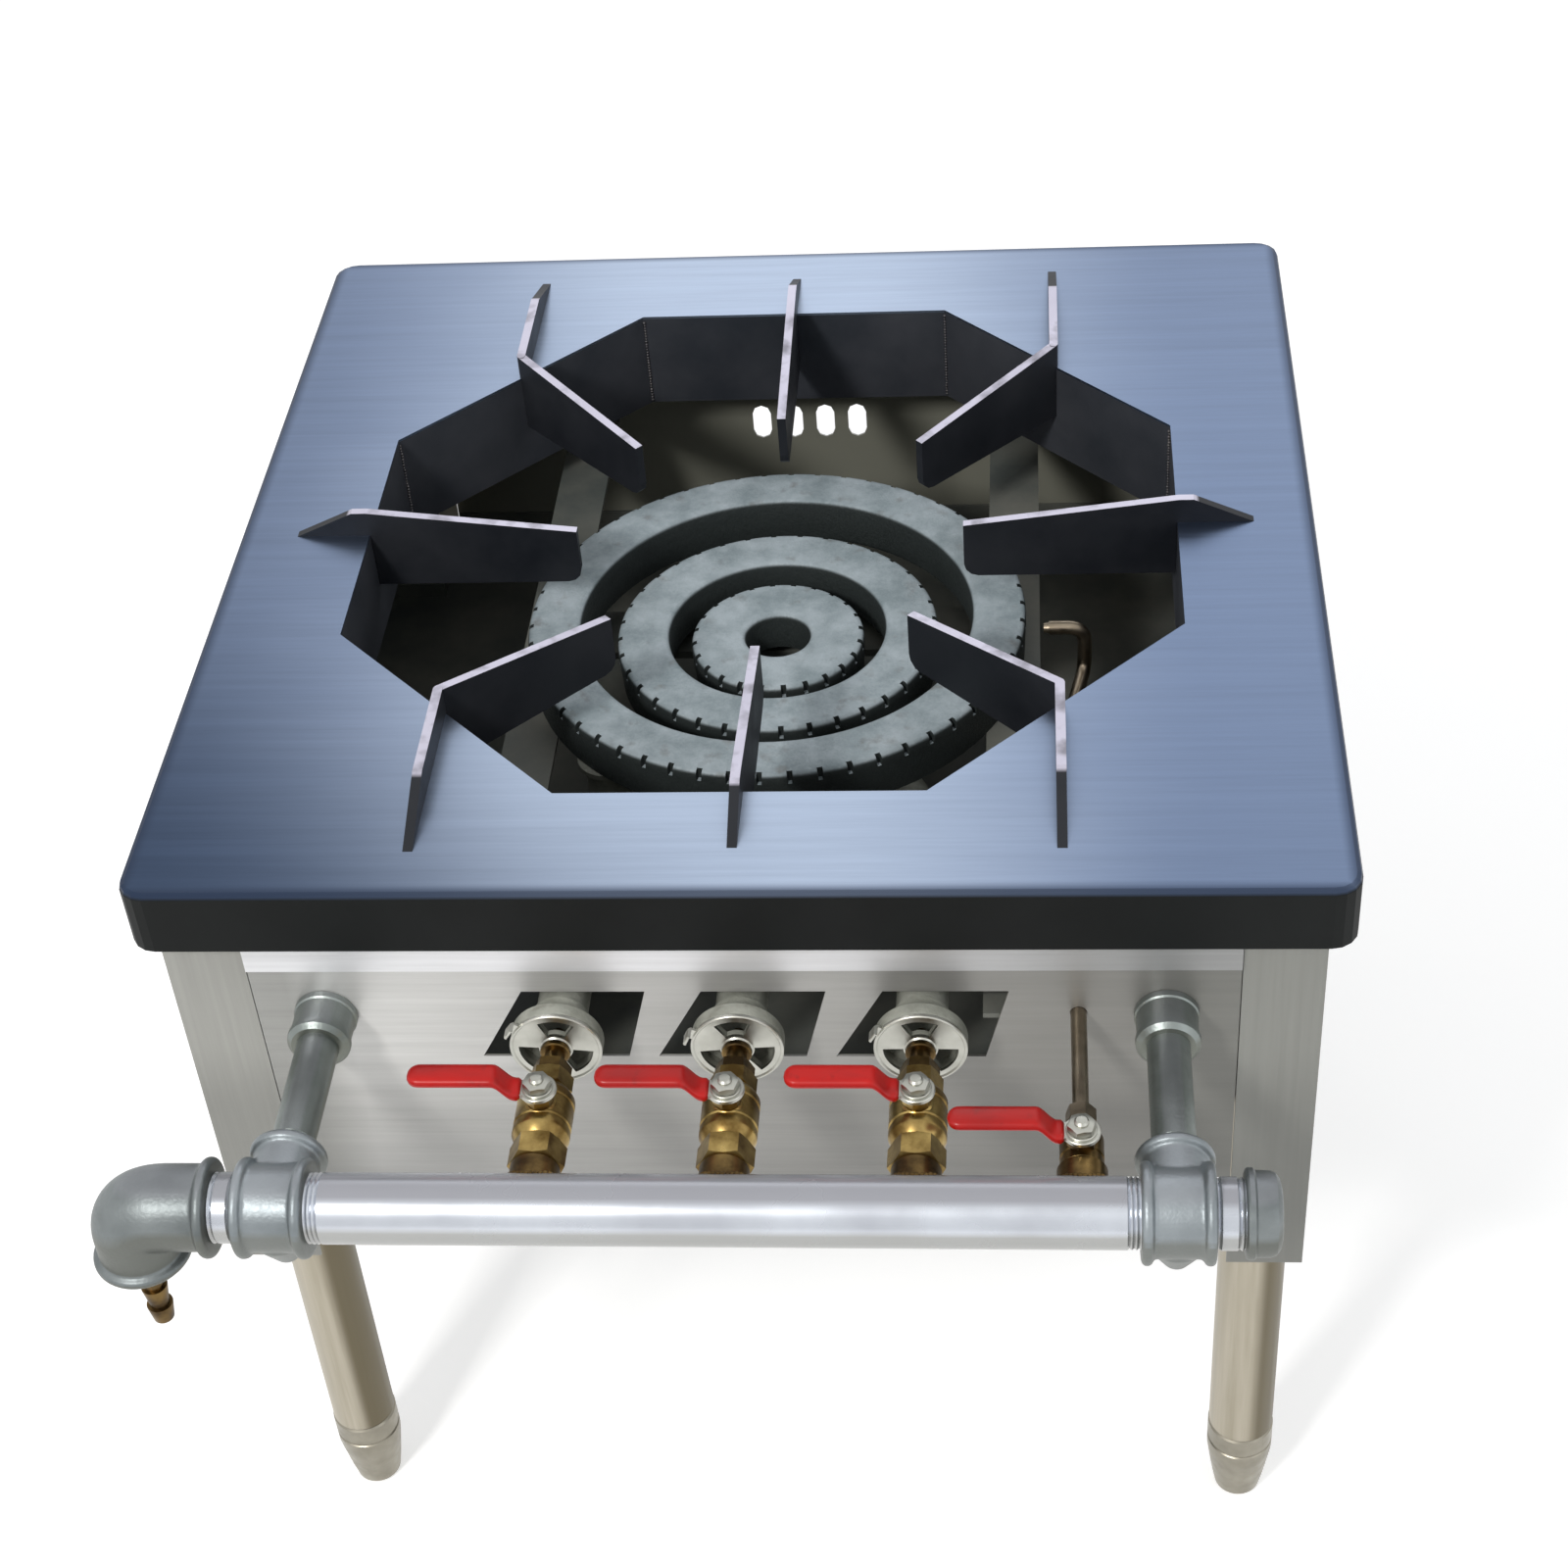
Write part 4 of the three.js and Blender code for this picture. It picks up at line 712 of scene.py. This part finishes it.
def build_shutter(line, material):
    """A pressed disc with windows, a rolled rim and a bent tab to turn it by."""
    origin = (VALVE_X[line], SHUTTER_Y, GAS_Z)
    disc = Form()
    radii = (5.15 * MM, *WINDOW_RADII, 21.8 * MM)
    window_disc(disc, radii, WINDOW_TURN[line], 0.7 * MM, 2 * MM, origin)
    rim = mm([(2, 21.2), (0.5, 21.2), (0, 21.8), (0, 22.4), (0.5, 23), (2, 23), (2, 21.2)])
    disc.turned(rim, "Y", origin, 64)
    hub = mm([(2, 5.15), (0, 5.15), (0, 7.2), (0.7, 7.9), (2, 7.9), (2, 5.15)])
    disc.turned(hub, "Y", origin, 48)
    turn = math.radians(WINDOW_TURN[line] + 60)
    out = Vector((math.cos(turn), 0, math.sin(turn)))
    side = Vector((-math.sin(turn), 0, math.cos(turn)))
    tab = mm([(20.5, 2), (20.5, 0.6), (24.9, 0.6), (25.4, 0), (25.4, -4.6), (25.9, -5), (26.6, -5),
              (27, -4.6), (27, 0.8), (25.8, 2)])
    half_width, rounding = 3, 0.4
    rows = []
    for place, inward in ((-half_width, rounding), (rounding - half_width, 0),
                          (half_width - rounding, 0), (half_width, rounding)):
        rows.append([Vector(origin) + out * (reach - inward * MM * 0.5) + side * place * MM
                     + Vector((0, along, 0)) for reach, along in tab])
    disc.rows(rows)
    disc.stands_for(f"air_shutter_{line}", "pressed", material, "burner_iron", f"shutter_{line}",
                    30, 0.25 * MM)


def build_injector(line, material):
    """A hexagon against the valve, a holder before the shutter and a nozzle inside the bell."""
    low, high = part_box(f"injector_{line}")
    origin = (VALVE_X[line], low.y, GAS_Z)
    brass = Form()
    brass.hexagon(17 * MM, 0, 7 * MM, "Y", origin)
    back = high.y - low.y
    holder = SHUTTER_Y - low.y - SEATING_GAP
    neck = mm([(6.5, 0), (6.5, 4.6), (7.4, 4.6), (8, 5)])
    nozzle = mm([(-5, 5), (-0.3, 3), (0, 2.6), (0, 1), (-2, 1), (-2, 0)], back)
    brass.turned(neck + nozzle, "Y", origin, 32)
    collar = mm([(-3, 0), (-3, 6.8), (-2.5, 7.5), (-0.5, 7.5), (0, 6.9), (0, 0)], holder)
    brass.turned(collar, "Y", origin, 40)
    brass.stands_for(f"injector_{line}", "turned", material, "brass", sharp=30)


# ---------------- valves

def stem_boss(form, x, y, top):
    """The upright boss with the packing nut round the stem."""
    boss = mm([(-12, 0), (-12, 7.5), (-7.4, 7.5), (-6.6, 6.6), (-6, 6.6), (-6, 0)])
    form.turned(boss, "Z", (x, y, top), 40)
    form.hexagon(12.6 * MM, -6 * MM, -0.6 * MM, "Z", (x, y, top), turn=0.3)
    form.turned(mm([(-2, 0), (-2, 4.9), (0, 4.9), (0, 0)]), "Z", (x, y, top), 32)


def build_valve(line, material):
    """A turned barrel between two hexagons."""
    low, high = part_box(f"valve_body_{line}")
    x = VALVE_X[line]
    origin = (x, low.y, GAS_Z)
    body = Form()
    body.hexagon(24 * MM, 0, 14 * MM, "Y", origin)
    barrel = mm([(13, 0), (13, 10.6), (14.2, 10.6), (15, 11.4), (18.6, 13.7), (19.4, 14), (23, 14),
                 (23.6, 13.2), (24.8, 13.2), (25.4, 14), (36.8, 14), (37.4, 13.2), (38.6, 13.2), (39.2, 14),
                 (42.6, 14), (43.4, 13.7), (47, 11.4), (48.4, 10.2), (49, 10.2), (49, 0)])
    body.turned(barrel, "Y", origin, 56)
    body.hexagon(20 * MM, 48 * MM, 59 * MM, "Y", origin)
    stem_boss(body, x, STEM_Y, high.z)
    body.stands_for(f"valve_body_{line}", "turned", material, "brass", sharp=30)


def build_pilot_valve(material):
    """The smaller valve: a grooved barrel and one hexagon."""
    low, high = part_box("pilot_valve_body")
    origin = (PILOT_X, low.y, GAS_Z)
    body = Form()
    barrel = mm([(0, 0), (0, 9.6), (0.9, 10.5), (5, 10.5), (5.6, 9.8), (6.6, 9.8), (7.2, 10.5),
                 (18.6, 10.5), (20, 9), (20, 0)])
    body.turned(barrel, "Y", origin, 48)
    body.hexagon(15 * MM, 19.6 * MM, 29 * MM, "Y", origin)
    stem_boss(body, PILOT_X, PILOT_STEM_Y, high.z)
    body.stands_for("pilot_valve_body", "turned", material, "brass", sharp=30)


def lever_sleeve(stem, base):
    """The vinyl: a flat rounded section that steps up and ends in a round tip."""
    first, length = 8, 62
    half_width, half_thick = 6.5 * MM, 3 * MM
    lift, step_up = 1.25 * MM, 9 * MM
    bend_start, bend_length = 11, 10
    stations, sides = 44, 32
    rows = []
    for i in range(stations + 1):
        share = i / stations
        along = (first + (length - first) * (1 - (1 - share) ** 1.25)) * MM
        rise = min(max((along / MM - bend_start) / bend_length, 0), 1)
        height = base + lift + step_up * rise * rise * (3 - 2 * rise)
        to_tip = max(0.0, (along - (length * MM - half_width)) / half_width)
        start = max(0.0, 1 - (along - first * MM) / (1.6 * MM))
        width = half_width * max(0.04, math.sqrt(max(0, 1 - to_tip ** 2.3))) * (1 - 0.22 * start ** 2)
        thick = half_thick * max(0.06, math.sqrt(max(0, 1 - to_tip ** 3.2))) * (1 - 0.30 * start ** 2)
        row = []
        for angle in circle(sides):
            c, s = math.cos(angle), math.sin(angle)
            across, up = math.copysign(abs(c) ** 0.55, c), math.copysign(abs(s) ** 0.75, s)
            row.append(Vector((stem.x - along, stem.y + width * across, height + thick * up)))
        rows.append(row)
    return Form().rows(rows)


def build_lever(node, body, metal, vinyl):
    """The flat steel strip, its nut and stem, and the red vinyl that it is dipped in."""
    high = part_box(node)[1]
    stem = Vector((high.x - 9 * MM, middle(node).y, 0))
    base = high.z - 13.25 * MM
    strip = Form()
    strip.turned(mm([(0, 0), (0, 8.7), (0.4, 9), (2.1, 9), (2.5, 8.6), (2.5, 0)], base), "Z", stem, 48)
    outline = mm([(-14, -4.6), (-13, -5), (0, -5), (0, 5), (-13, 5), (-14, 4.6)])
    strip.prism(outline, base + 0.05 * MM, base + 2.45 * MM, "Z", stem)
    strip.turned(mm([(2.4, 0), (2.4, 7.4), (3.1, 7.4), (3.4, 7), (3.4, 0)], base), "Z", stem, 40)
    strip.hexagon(12 * MM, base + 3.3 * MM, base + 7.5 * MM, "Z", stem, turn=0.2)
    strip.turned(mm([(-9, 0), (-9, 3.5), (8.4, 3.5), (9.4, 2.6), (9.7, 0)], base), "Z", stem, 28)
    strip.made(f"{node}_strip", metal, "red_vinyl", body, sharp=30)
    lever_sleeve(stem, base).stands_for(node, "sleeve", vinyl, "red_vinyl", body, 60)


def build_pilot_tube(material):
    """From the pilot valve straight back, up beside the burner, and over towards the outer ring."""
    low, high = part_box("pilot_tube")
    radius = 4 * MM
    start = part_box("pilot_valve_body")[1].y
    riser_x = PILOT_X + 8 * MM
    riser_y = CENTRE.y - 20 * MM
    top = high.z - radius
    corners = [Vector((PILOT_X, start, GAS_Z)), Vector((PILOT_X, riser_y - 40 * MM, GAS_Z)),
               Vector((riser_x, riser_y, GAS_Z)), Vector((riser_x, riser_y, top)),
               Vector((low.x, riser_y, top))]
    tube = Form()
    tube.swept(rounded(corners, 11 * MM), radius, 20)
    tube.hexagon(13 * MM, 0.2 * MM, 9 * MM, "Y", (PILOT_X, start, GAS_Z), turn=0.25)
    mouth = [(0, radius), (0, 0.8 * radius), (-3 * MM, 0.7 * radius), (-3 * MM, 0)]
    tube.turned(mouth, "X", (low.x, riser_y, top), 20)
    tube.stands_for("pilot_tube", "bent", material, "silver_pipe", sharp=40)


# ---------------- gas line

def threaded_pipe(name, material, start, end, first, last, sides, replaces=()):
    """A pipe along X, threaded over its first and its last stretch."""
    profile = [(start, 0), *threads(start, start + first, PIPE_RADIUS),
               *threads(end - last, end, PIPE_RADIUS), (end, 0)]
    pipe = Form().turned(profile, "X", (0, MANIFOLD_Y, GAS_Z), sides)
    pipe.made(name, material, "silver_pipe", replaces=replaces, sharp=28)


def build_pipe(node, material, shown, sides):
    """A pipe of the gas line, whose threads show at both ends."""
    low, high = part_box(node)
    threaded_pipe(f"{node}_threaded", material, low.x, high.x, shown, shown, sides, [node])


def build_bosses(material):
    """Short bosses brazed to the pipe, into which the valves are screwed."""
    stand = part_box("manifold_pipe")[1].y - MANIFOLD_Y
    blobs, radius = 34, 12.2 * MM
    bosses = Form()
    for x in (*VALVE_X.values(), PILOT_X):
        boss = mm([(7, 0), (7, 12)]) + mm([(-0.8, 12), (0, 11.2), (0, 0)], stand)
        bosses.turned(boss, "Y", (x, MANIFOLD_Y, GAS_Z), 44)
        ripples = []
        for angle in circle(blobs):
            across, up = radius * math.cos(angle), radius * math.sin(angle)
            back = math.sqrt(PIPE_RADIUS ** 2 - up ** 2)
            ripples.append(Vector((x + across, MANIFOLD_Y + back, GAS_Z + up)))
        bosses.welded(ripples, 1.4 * MM, 7)
    bosses.made("manifold_bosses", material, "brass", sharp=40)


def build_tee(node, material):
    """A malleable tee: beads round its mouths and a pointed lower side."""
    low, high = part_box(node)
    centre = (middle(node).x, MANIFOLD_Y, GAS_Z)
    half = (high.x - low.x) / 2
    bead = high.z - GAS_Z
    branch = high.y - MANIFOLD_Y
    tee = Form()
    tee.rod(bead - BEAD_RISE, 1 * MM - half, half - 1 * MM, "X", centre)
    for side in (-1, 1):
        tee.band(bead, side * (half - HALF_BEAD), HALF_BEAD, "X", centre)
    tee.rod(16 * MM, 0, branch - 0.8 * MM, "Y", centre)
    tee.band(19 * MM, branch - HALF_BEAD, HALF_BEAD, "Y", centre)
    point = mm([(0, 0), (0, 4.5), (1.2, 6)], low.z - GAS_Z) + mm([(-15, 16.4), (0, 16.4), (0, 0)])
    tee.turned(point, "Z", centre)
    cast(tee.stands_for(node, "cast", material, "silver_pipe"))


def build_rail(node, material):
    """The rail pipe with its coupling before the panel and its locknut behind it."""
    low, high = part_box(node)
    origin = (middle(node).x, 0, GAS_Z)
    rail = Form()
    rail.turned([(low.y, 0), *threads(low.y, low.y + 15 * MM, RAIL_RADIUS, 1.8 * MM, 0.7 * MM),
                 *mm([(-1, 0), (0, -1)], high.y, RAIL_RADIUS), (high.y, 0)], "Y", origin, 52)
    coupling = mm([(0, 0), (0, 13.4), (1.2, 14.6), (2.4, 15.8), (3.6, 16), (5.4, 16), (6.2, 15.2)],
                  FRONT_FACE - 24 * MM)
    coupling += mm([(-4.4, 15.2), (-3.6, 16), (-0.4, 16), (0, 15.6), (0, 0)], FRONT_FACE)
    rail.turned(coupling, "Y", origin, 52)
    rail.hexagon(32 * MM, FRONT_FACE + 1.5 * MM, FRONT_FACE + 7.5 * MM, "Y", origin)
    rail.stands_for(node, "fitted", material, "silver_pipe", sharp=28)


def build_elbow(material):
    """A malleable elbow from along the pipe to straight down, with beads round its mouths."""
    low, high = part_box("inlet_elbow")
    bead = high.z - GAS_Z
    corner = Vector((low.x + bead, MANIFOLD_Y, GAS_Z))
    arm, drop = high.x - corner.x, GAS_Z - low.z
    along, down = Vector((1, 0, 0)), Vector((0, 0, -1))
    elbow = Form()
    path = [corner + along * (arm - 1 * MM), corner, corner + down * (drop - 1 * MM)]
    elbow.swept(rounded(path, 25 * MM, 14), bead - BEAD_RISE, 48)
    elbow.band(bead, arm - HALF_BEAD, HALF_BEAD, "X", corner)
    elbow.band(bead, HALF_BEAD - drop, HALF_BEAD, "Z", corner)
    cast(elbow.stands_for("inlet_elbow", "cast", material, "silver_pipe"))


def build_hose_nipple(material):
    """A hexagon bush with a barbed tail for the hose."""
    low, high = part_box("hose_nipple")
    origin = Vector((middle("hose_nipple").x, MANIFOLD_Y, 0))
    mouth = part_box("inlet_elbow")[0].z
    tail = mouth - 8 * MM
    barbs = 3
    nipple = Form()
    start = mouth - 1 * MM
    nipple.turned([(start, 0), *threads(start, high.z, 14 * MM, 1.8 * MM, 0.7 * MM), (high.z, 0)],
                  "Z", origin, 48)
    nipple.hexagon(30 * MM, tail, mouth, "Z", origin)
    profile = mm([(1, 0), (1, 8), (-0.6, 6.2), (-1.4, 5)], tail)
    pitch = (tail - low.z) / barbs
    for i in range(barbs):
        top = tail - i * pitch
        profile += mm([(-2.4, 5), (-2.6, 6.4), (-3.2, 6.5)], top) + mm([(0.4, 5.1)], top - pitch)
    profile += mm([(0, 4.8), (0, 3.5), (6, 3.5), (6, 0)], low.z)
    nipple.turned(profile, "Z", origin, 44)
    nipple.stands_for("hose_nipple", "turned", material, "brass", sharp=28)


def build_cap(neck_material, material):
    """The short pipe and the cap that close the right-hand tee."""
    low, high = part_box("end_plug")
    start = high.x - 17 * MM
    threaded_pipe("end_neck_threaded", neck_material, low.x, start + 1 * MM, 11 * MM, 4.6 * MM, 64)
    radius = high.z - GAS_Z
    mouth = mm([(0, -2), (0.7, -0.5), (1.6, 0), (3.8, 0), (4.8, -1.1)], start, radius)
    dome = mm([(-5.5, -1.3), (-3, -2.2), (-1.2, -4.6), (-0.3, -8), (0, -13)], high.x, radius)
    cap = Form()
    cap.turned([(start, 0), *mouth, *dome, (high.x, 0)], "X", (0, MANIFOLD_Y, GAS_Z), 64)
    cap.made("end_cap_turned", material, "silver_pipe", replaces=["end_plug"], sharp=28)


# ---------------- legs, welds

def build_leg(corner, material):
    """A round tube with a plug in its lower end."""
    node = f"leg_{corner}"
    low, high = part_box(node)
    radius = (high.x - low.x) / 2
    place = middle(node)
    wall, plug, hole = 1.5 * MM, 24 * MM, 8.3 * MM
    leg = Form()
    profile = [(low.z, hole), *mm([(0, -0.8), (0.8, 0)], low.z, radius),
               *mm([(-0.5, 0), (0, -0.5)], high.z, radius), (high.z, radius - wall),
               (low.z + plug, radius - wall), (low.z + plug, hole), (low.z, hole)]
    leg.turned(profile, "Z", (place.x, place.y, 0), 72)
    leg.stands_for(node, "tube", material, "stainless_leg", sharp=28)


def build_foot(corner, material):
    """A bullet foot: a turned collar with a groove, a swelling cone and a rounded sole."""
    node = f"foot_{corner}"
    low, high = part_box(node)
    place = middle(node)
    foot = Form()
    profile = mm([(0, 0), (0, 11.4), (0.5, 12.5), (1.6, 13.4), (12, 15.3), (24, 17.1), (34, 18.5), (38, 19),
                  (44, 19.05), (44.6, 18.3), (46.2, 18.3), (46.8, 19.05), (58.8, 19.05), (60, 18), (60, 8)])
    top = high.z - low.z
    profile += threads(60 * MM, top - 1 * MM, 8 * MM, 2 * MM, 0.8 * MM)[1:] + [(top, 7 * MM), (top, 0)]
    foot.turned(profile, "Z", (place.x, place.y, low.z), 64)
    foot.stands_for(node, "turned", material, "foot_steel", node, 28)


def bead_points(start, end):
    """Places for a weld's blobs along a line."""
    spacing = 1.9 * MM
    count = max(2, round((end - start).length / spacing))
    return [start.lerp(end, i / count) for i in range(count + 1)]


def build_welds(material):
    """Weld beads up the eight corners inside the burner well."""
    welds = Form()
    reach = HALF_HOLE / math.cos(math.pi / 8) - 0.4 * MM
    bottom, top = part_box("burner_well")[0].z + 2 * MM, PLATE_TOP - 4 * MM
    for i in range(8):
        angle = math.pi / 8 + i * math.pi / 4
        x, y = CENTRE.x + reach * math.cos(angle), CENTRE.y + reach * math.sin(angle)
        welds.welded(bead_points(Vector((x, y, bottom)), Vector((x, y, top))), 1.0 * MM, i)
    welds.made("weld_beads", material, "black_steel", sharp=60)


def build_hem(material):
    """The folded lower edge of the front panel, which hangs a little below the sheet."""
    low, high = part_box("front_panel")
    outer, inner = FRONT_FACE + 0.2 * MM, FRONT_FACE + 3 * MM
    top, bottom, fold = low.z + 2 * MM, low.z - 9 * MM, 1.2 * MM
    outline = [(outer, top), (outer, bottom + fold), *mm([(0.4, 0.3)], outer, bottom), (outer + fold, bottom),
               *mm([(-0.4, 0.3)], inner, bottom), (inner, bottom + fold), (inner, top)]
    hem = Form()
    hem.prism(outline, low.x, high.x, "X")
    hem.made("front_panel_hem", material, "stainless_body", sharp=40)


# ---------------- light, floor

def area_light(name, place, target, size, power, colour):
    data = bpy.data.lights.new(name, "AREA")
    data.shape = "RECTANGLE"
    data.size, data.size_y = size
    data.energy = power
    data.color = colour
    lamp = bpy.data.objects.new(name, data)
    lamp.location = place
    lamp.rotation_mode = "QUATERNION"
    lamp.rotation_quaternion = (Vector(target) - Vector(place)).to_track_quat("-Z", "Y")
    bpy.context.scene.collection.objects.link(lamp)


def seen_directly(tree):
    """1 for rays of the camera, of glass and of gloss, 0 for the rays that light the object."""
    path = tree.nodes.new("ShaderNodeLightPath")
    total = path.outputs["Is Camera Ray"]
    for ray in ("Is Transmission Ray", "Is Glossy Ray"):
        larger = tree.nodes.new("ShaderNodeMath")
        larger.operation = "MAXIMUM"
        tree.links.new(total, larger.inputs[0])
        tree.links.new(path.outputs[ray], larger.inputs[1])
        total = larger.outputs[0]
    return total


def strength_between(tree, seen, hidden_value, seen_value):
    strength = tree.nodes.new("ShaderNodeMapRange")
    strength.inputs["To Min"].default_value = hidden_value
    strength.inputs["To Max"].default_value = seen_value
    tree.links.new(seen, strength.inputs["Value"])
    return strength.outputs[0]


def add_studio():
    world = bpy.data.worlds.new("studio")
    world.use_nodes = True
    tree = world.node_tree
    background = tree.nodes["Background"]
    background.inputs["Color"].default_value = (1, 1, 1, 1)
    strength = strength_between(tree, seen_directly(tree), 0.45, 1.0)
    tree.links.new(strength, background.inputs["Strength"])
    bpy.context.scene.world = world

    area_light("key", (-1.0, -2.0, 2.3), (0, 0, 0.4), (0.4, 0.4), 40, (1.0, 0.98, 0.95))
    area_light("fill", (1.9, -1.4, 1.5), (0, 0, 0.3), (1.6, 1.6), 6, (0.94, 0.97, 1.0))
    area_light("back", (0.2, 2.0, 2.0), (0, 0, 0.5), (2.2, 1.2), 10, (0.92, 0.96, 1.0))


def add_floor():
    """Pale paint, raised to white for the camera; the object's shadow stays on it."""
    mesh = bpy.data.meshes.new("floor")
    half, low = 14.0, -0.4 * MM
    corners = [(-half, -half, low), (half, -half, low), (half, half, low), (-half, half, low)]
    mesh.from_pydata(corners, [], [(0, 1, 2, 3)])
    floor = bpy.data.objects.new("floor", mesh)
    bpy.context.scene.collection.objects.link(floor)
    f = Finish("floor_paint", (0.86, 0.86, 0.86), 0.8)
    f.set("Base Color", f.mixed(f.noise(3, 2), (0.85, 0.85, 0.85), (0.87, 0.87, 0.87)))
    f.set("Emission Color", (1, 1, 1))
    f.set("Emission Strength", strength_between(f.tree, seen_directly(f.tree), 0.0, 0.5))
    mesh.materials.append(f.material)


# ---------------- assembly

def finish_nodes(names, material, bevel=None):
    for name in names:
        node = NODES[name]
        node.data.materials.clear()
        node.data.materials.append(material)
        soften(node, 30, bevel)


def names_starting(*starts):
    return [name for name in NODES if name.startswith(starts)]


bpy.context.scene.view_settings.view_transform = "Standard"
add_camera()
add_studio()
add_floor()

# The lit and the shaded tone of the panels' painted shade.
BODY_LIT, BODY_SHADED = srgb(214, 214, 212), srgb(136, 135, 131)
body = sheet_finish("body_steel", BODY_LIT, BODY_SHADED, "X", (-0.22, 0.2), ("Y", 1, FRONT_FACE), 482 * MM)
finish_nodes(["top_plate"], top_plate_finish(), 0.4 * MM)
finish_nodes(["front_panel"], body, 0.3 * MM)
for side, grain, inside in (("back", "X", ("Y", -1, BACK_FACE)), ("left", "Y", ("X", 1, LEFT_FACE)),
                            ("right", "Y", ("X", -1, RIGHT_FACE))):
    steel = sheet_finish(f"{side}_steel", BODY_LIT, BODY_SHADED, grain, inside=inside)
    finish_nodes([f"{side}_panel"], steel)
# The posts, painted lighter to the left and darker to the right as shade.
finish_nodes(names_starting("corner_post"),
             sheet_finish("post_steel", srgb(164, 164, 159), srgb(138, 139, 134), "Z"), 0.6 * MM)
finish_nodes(["burner_well"], black_finish("well_steel", srgb(46, 50, 57), srgb(66, 68, 74)), 0.4 * MM)
finish_nodes(["base_tray", "burner_support_frame"],
             black_finish("inner_steel", srgb(84, 90, 88), srgb(124, 124, 116)), 0.4 * MM)
finish_nodes(names_starting("trivet_fin"),
             black_finish("fin_steel", srgb(24, 27, 33), srgb(42, 44, 49), worn_edges=True), 0.9 * MM)

# The pale top colours are painted light, the dark side colour painted shade.
ring_iron = iron_finish("burner_iron", srgb(170, 181, 187), srgb(132, 145, 150), srgb(50, 57, 57))
tube_iron = iron_finish("tube_iron", srgb(176, 178, 168), srgb(140, 142, 132), srgb(128, 130, 120))
pipe_silver = silver_finish("silver_pipe", srgb(190, 194, 202), srgb(204, 209, 217), 0.24, False)
cast_silver = silver_finish("silver_casting", srgb(118, 125, 128), srgb(148, 155, 159), 0.42, True)
elbow_silver = silver_finish("silver_elbow", srgb(100, 106, 107), srgb(132, 138, 139), 0.44, True)
rail_silver = silver_finish("silver_rail", srgb(112, 119, 116), srgb(143, 150, 148), 0.38, True)
bright_brass = brass_finish("brass", srgb(104, 82, 44), srgb(172, 148, 92))
# A darker copy of the brass, as painted shade, for the injectors, bosses, pilot valve and hose nipple.
shaded_brass = brass_finish("brass_darkened_as_shade", srgb(66, 52, 34), srgb(118, 96, 58))
plated = plated_finish("zinc_plate", srgb(150, 150, 142), srgb(206, 206, 198))
vinyl = vinyl_finish()

for name in RINGS:
    build_ring(name, ring_iron)
for line in LINES:
    build_mixing_tube(line, tube_iron)
    build_shutter(line, plated)
    build_injector(line, shaded_brass)
    build_valve(line, bright_brass)
    build_lever(f"valve_lever_{line}", f"lever_{line}", plated, vinyl)
build_pilot_valve(shaded_brass)
build_lever("pilot_lever", "lever_pilot", plated, vinyl)
build_pilot_tube(plated_finish("pilot_metal", srgb(104, 92, 76), srgb(168, 156, 138)))
build_pipe("manifold_pipe", pipe_silver, 15 * MM, 72)
build_bosses(shaded_brass)
for side in ("left", "right"):
    build_tee(f"tee_{side}", cast_silver)
    build_rail(f"rail_{side}", rail_silver)
build_pipe("close_nipple", pipe_silver, 11.5 * MM, 64)
build_elbow(elbow_silver)
build_hose_nipple(shaded_brass)
build_cap(pipe_silver, elbow_silver)
leg_steel = leg_finish()
foot_steel = plated_finish("foot_steel", srgb(124, 120, 108), srgb(168, 163, 150))
for corner in CORNERS:
    build_leg(corner, leg_steel)
    build_foot(corner, foot_steel)
build_welds(weld_finish())
build_hem(body)
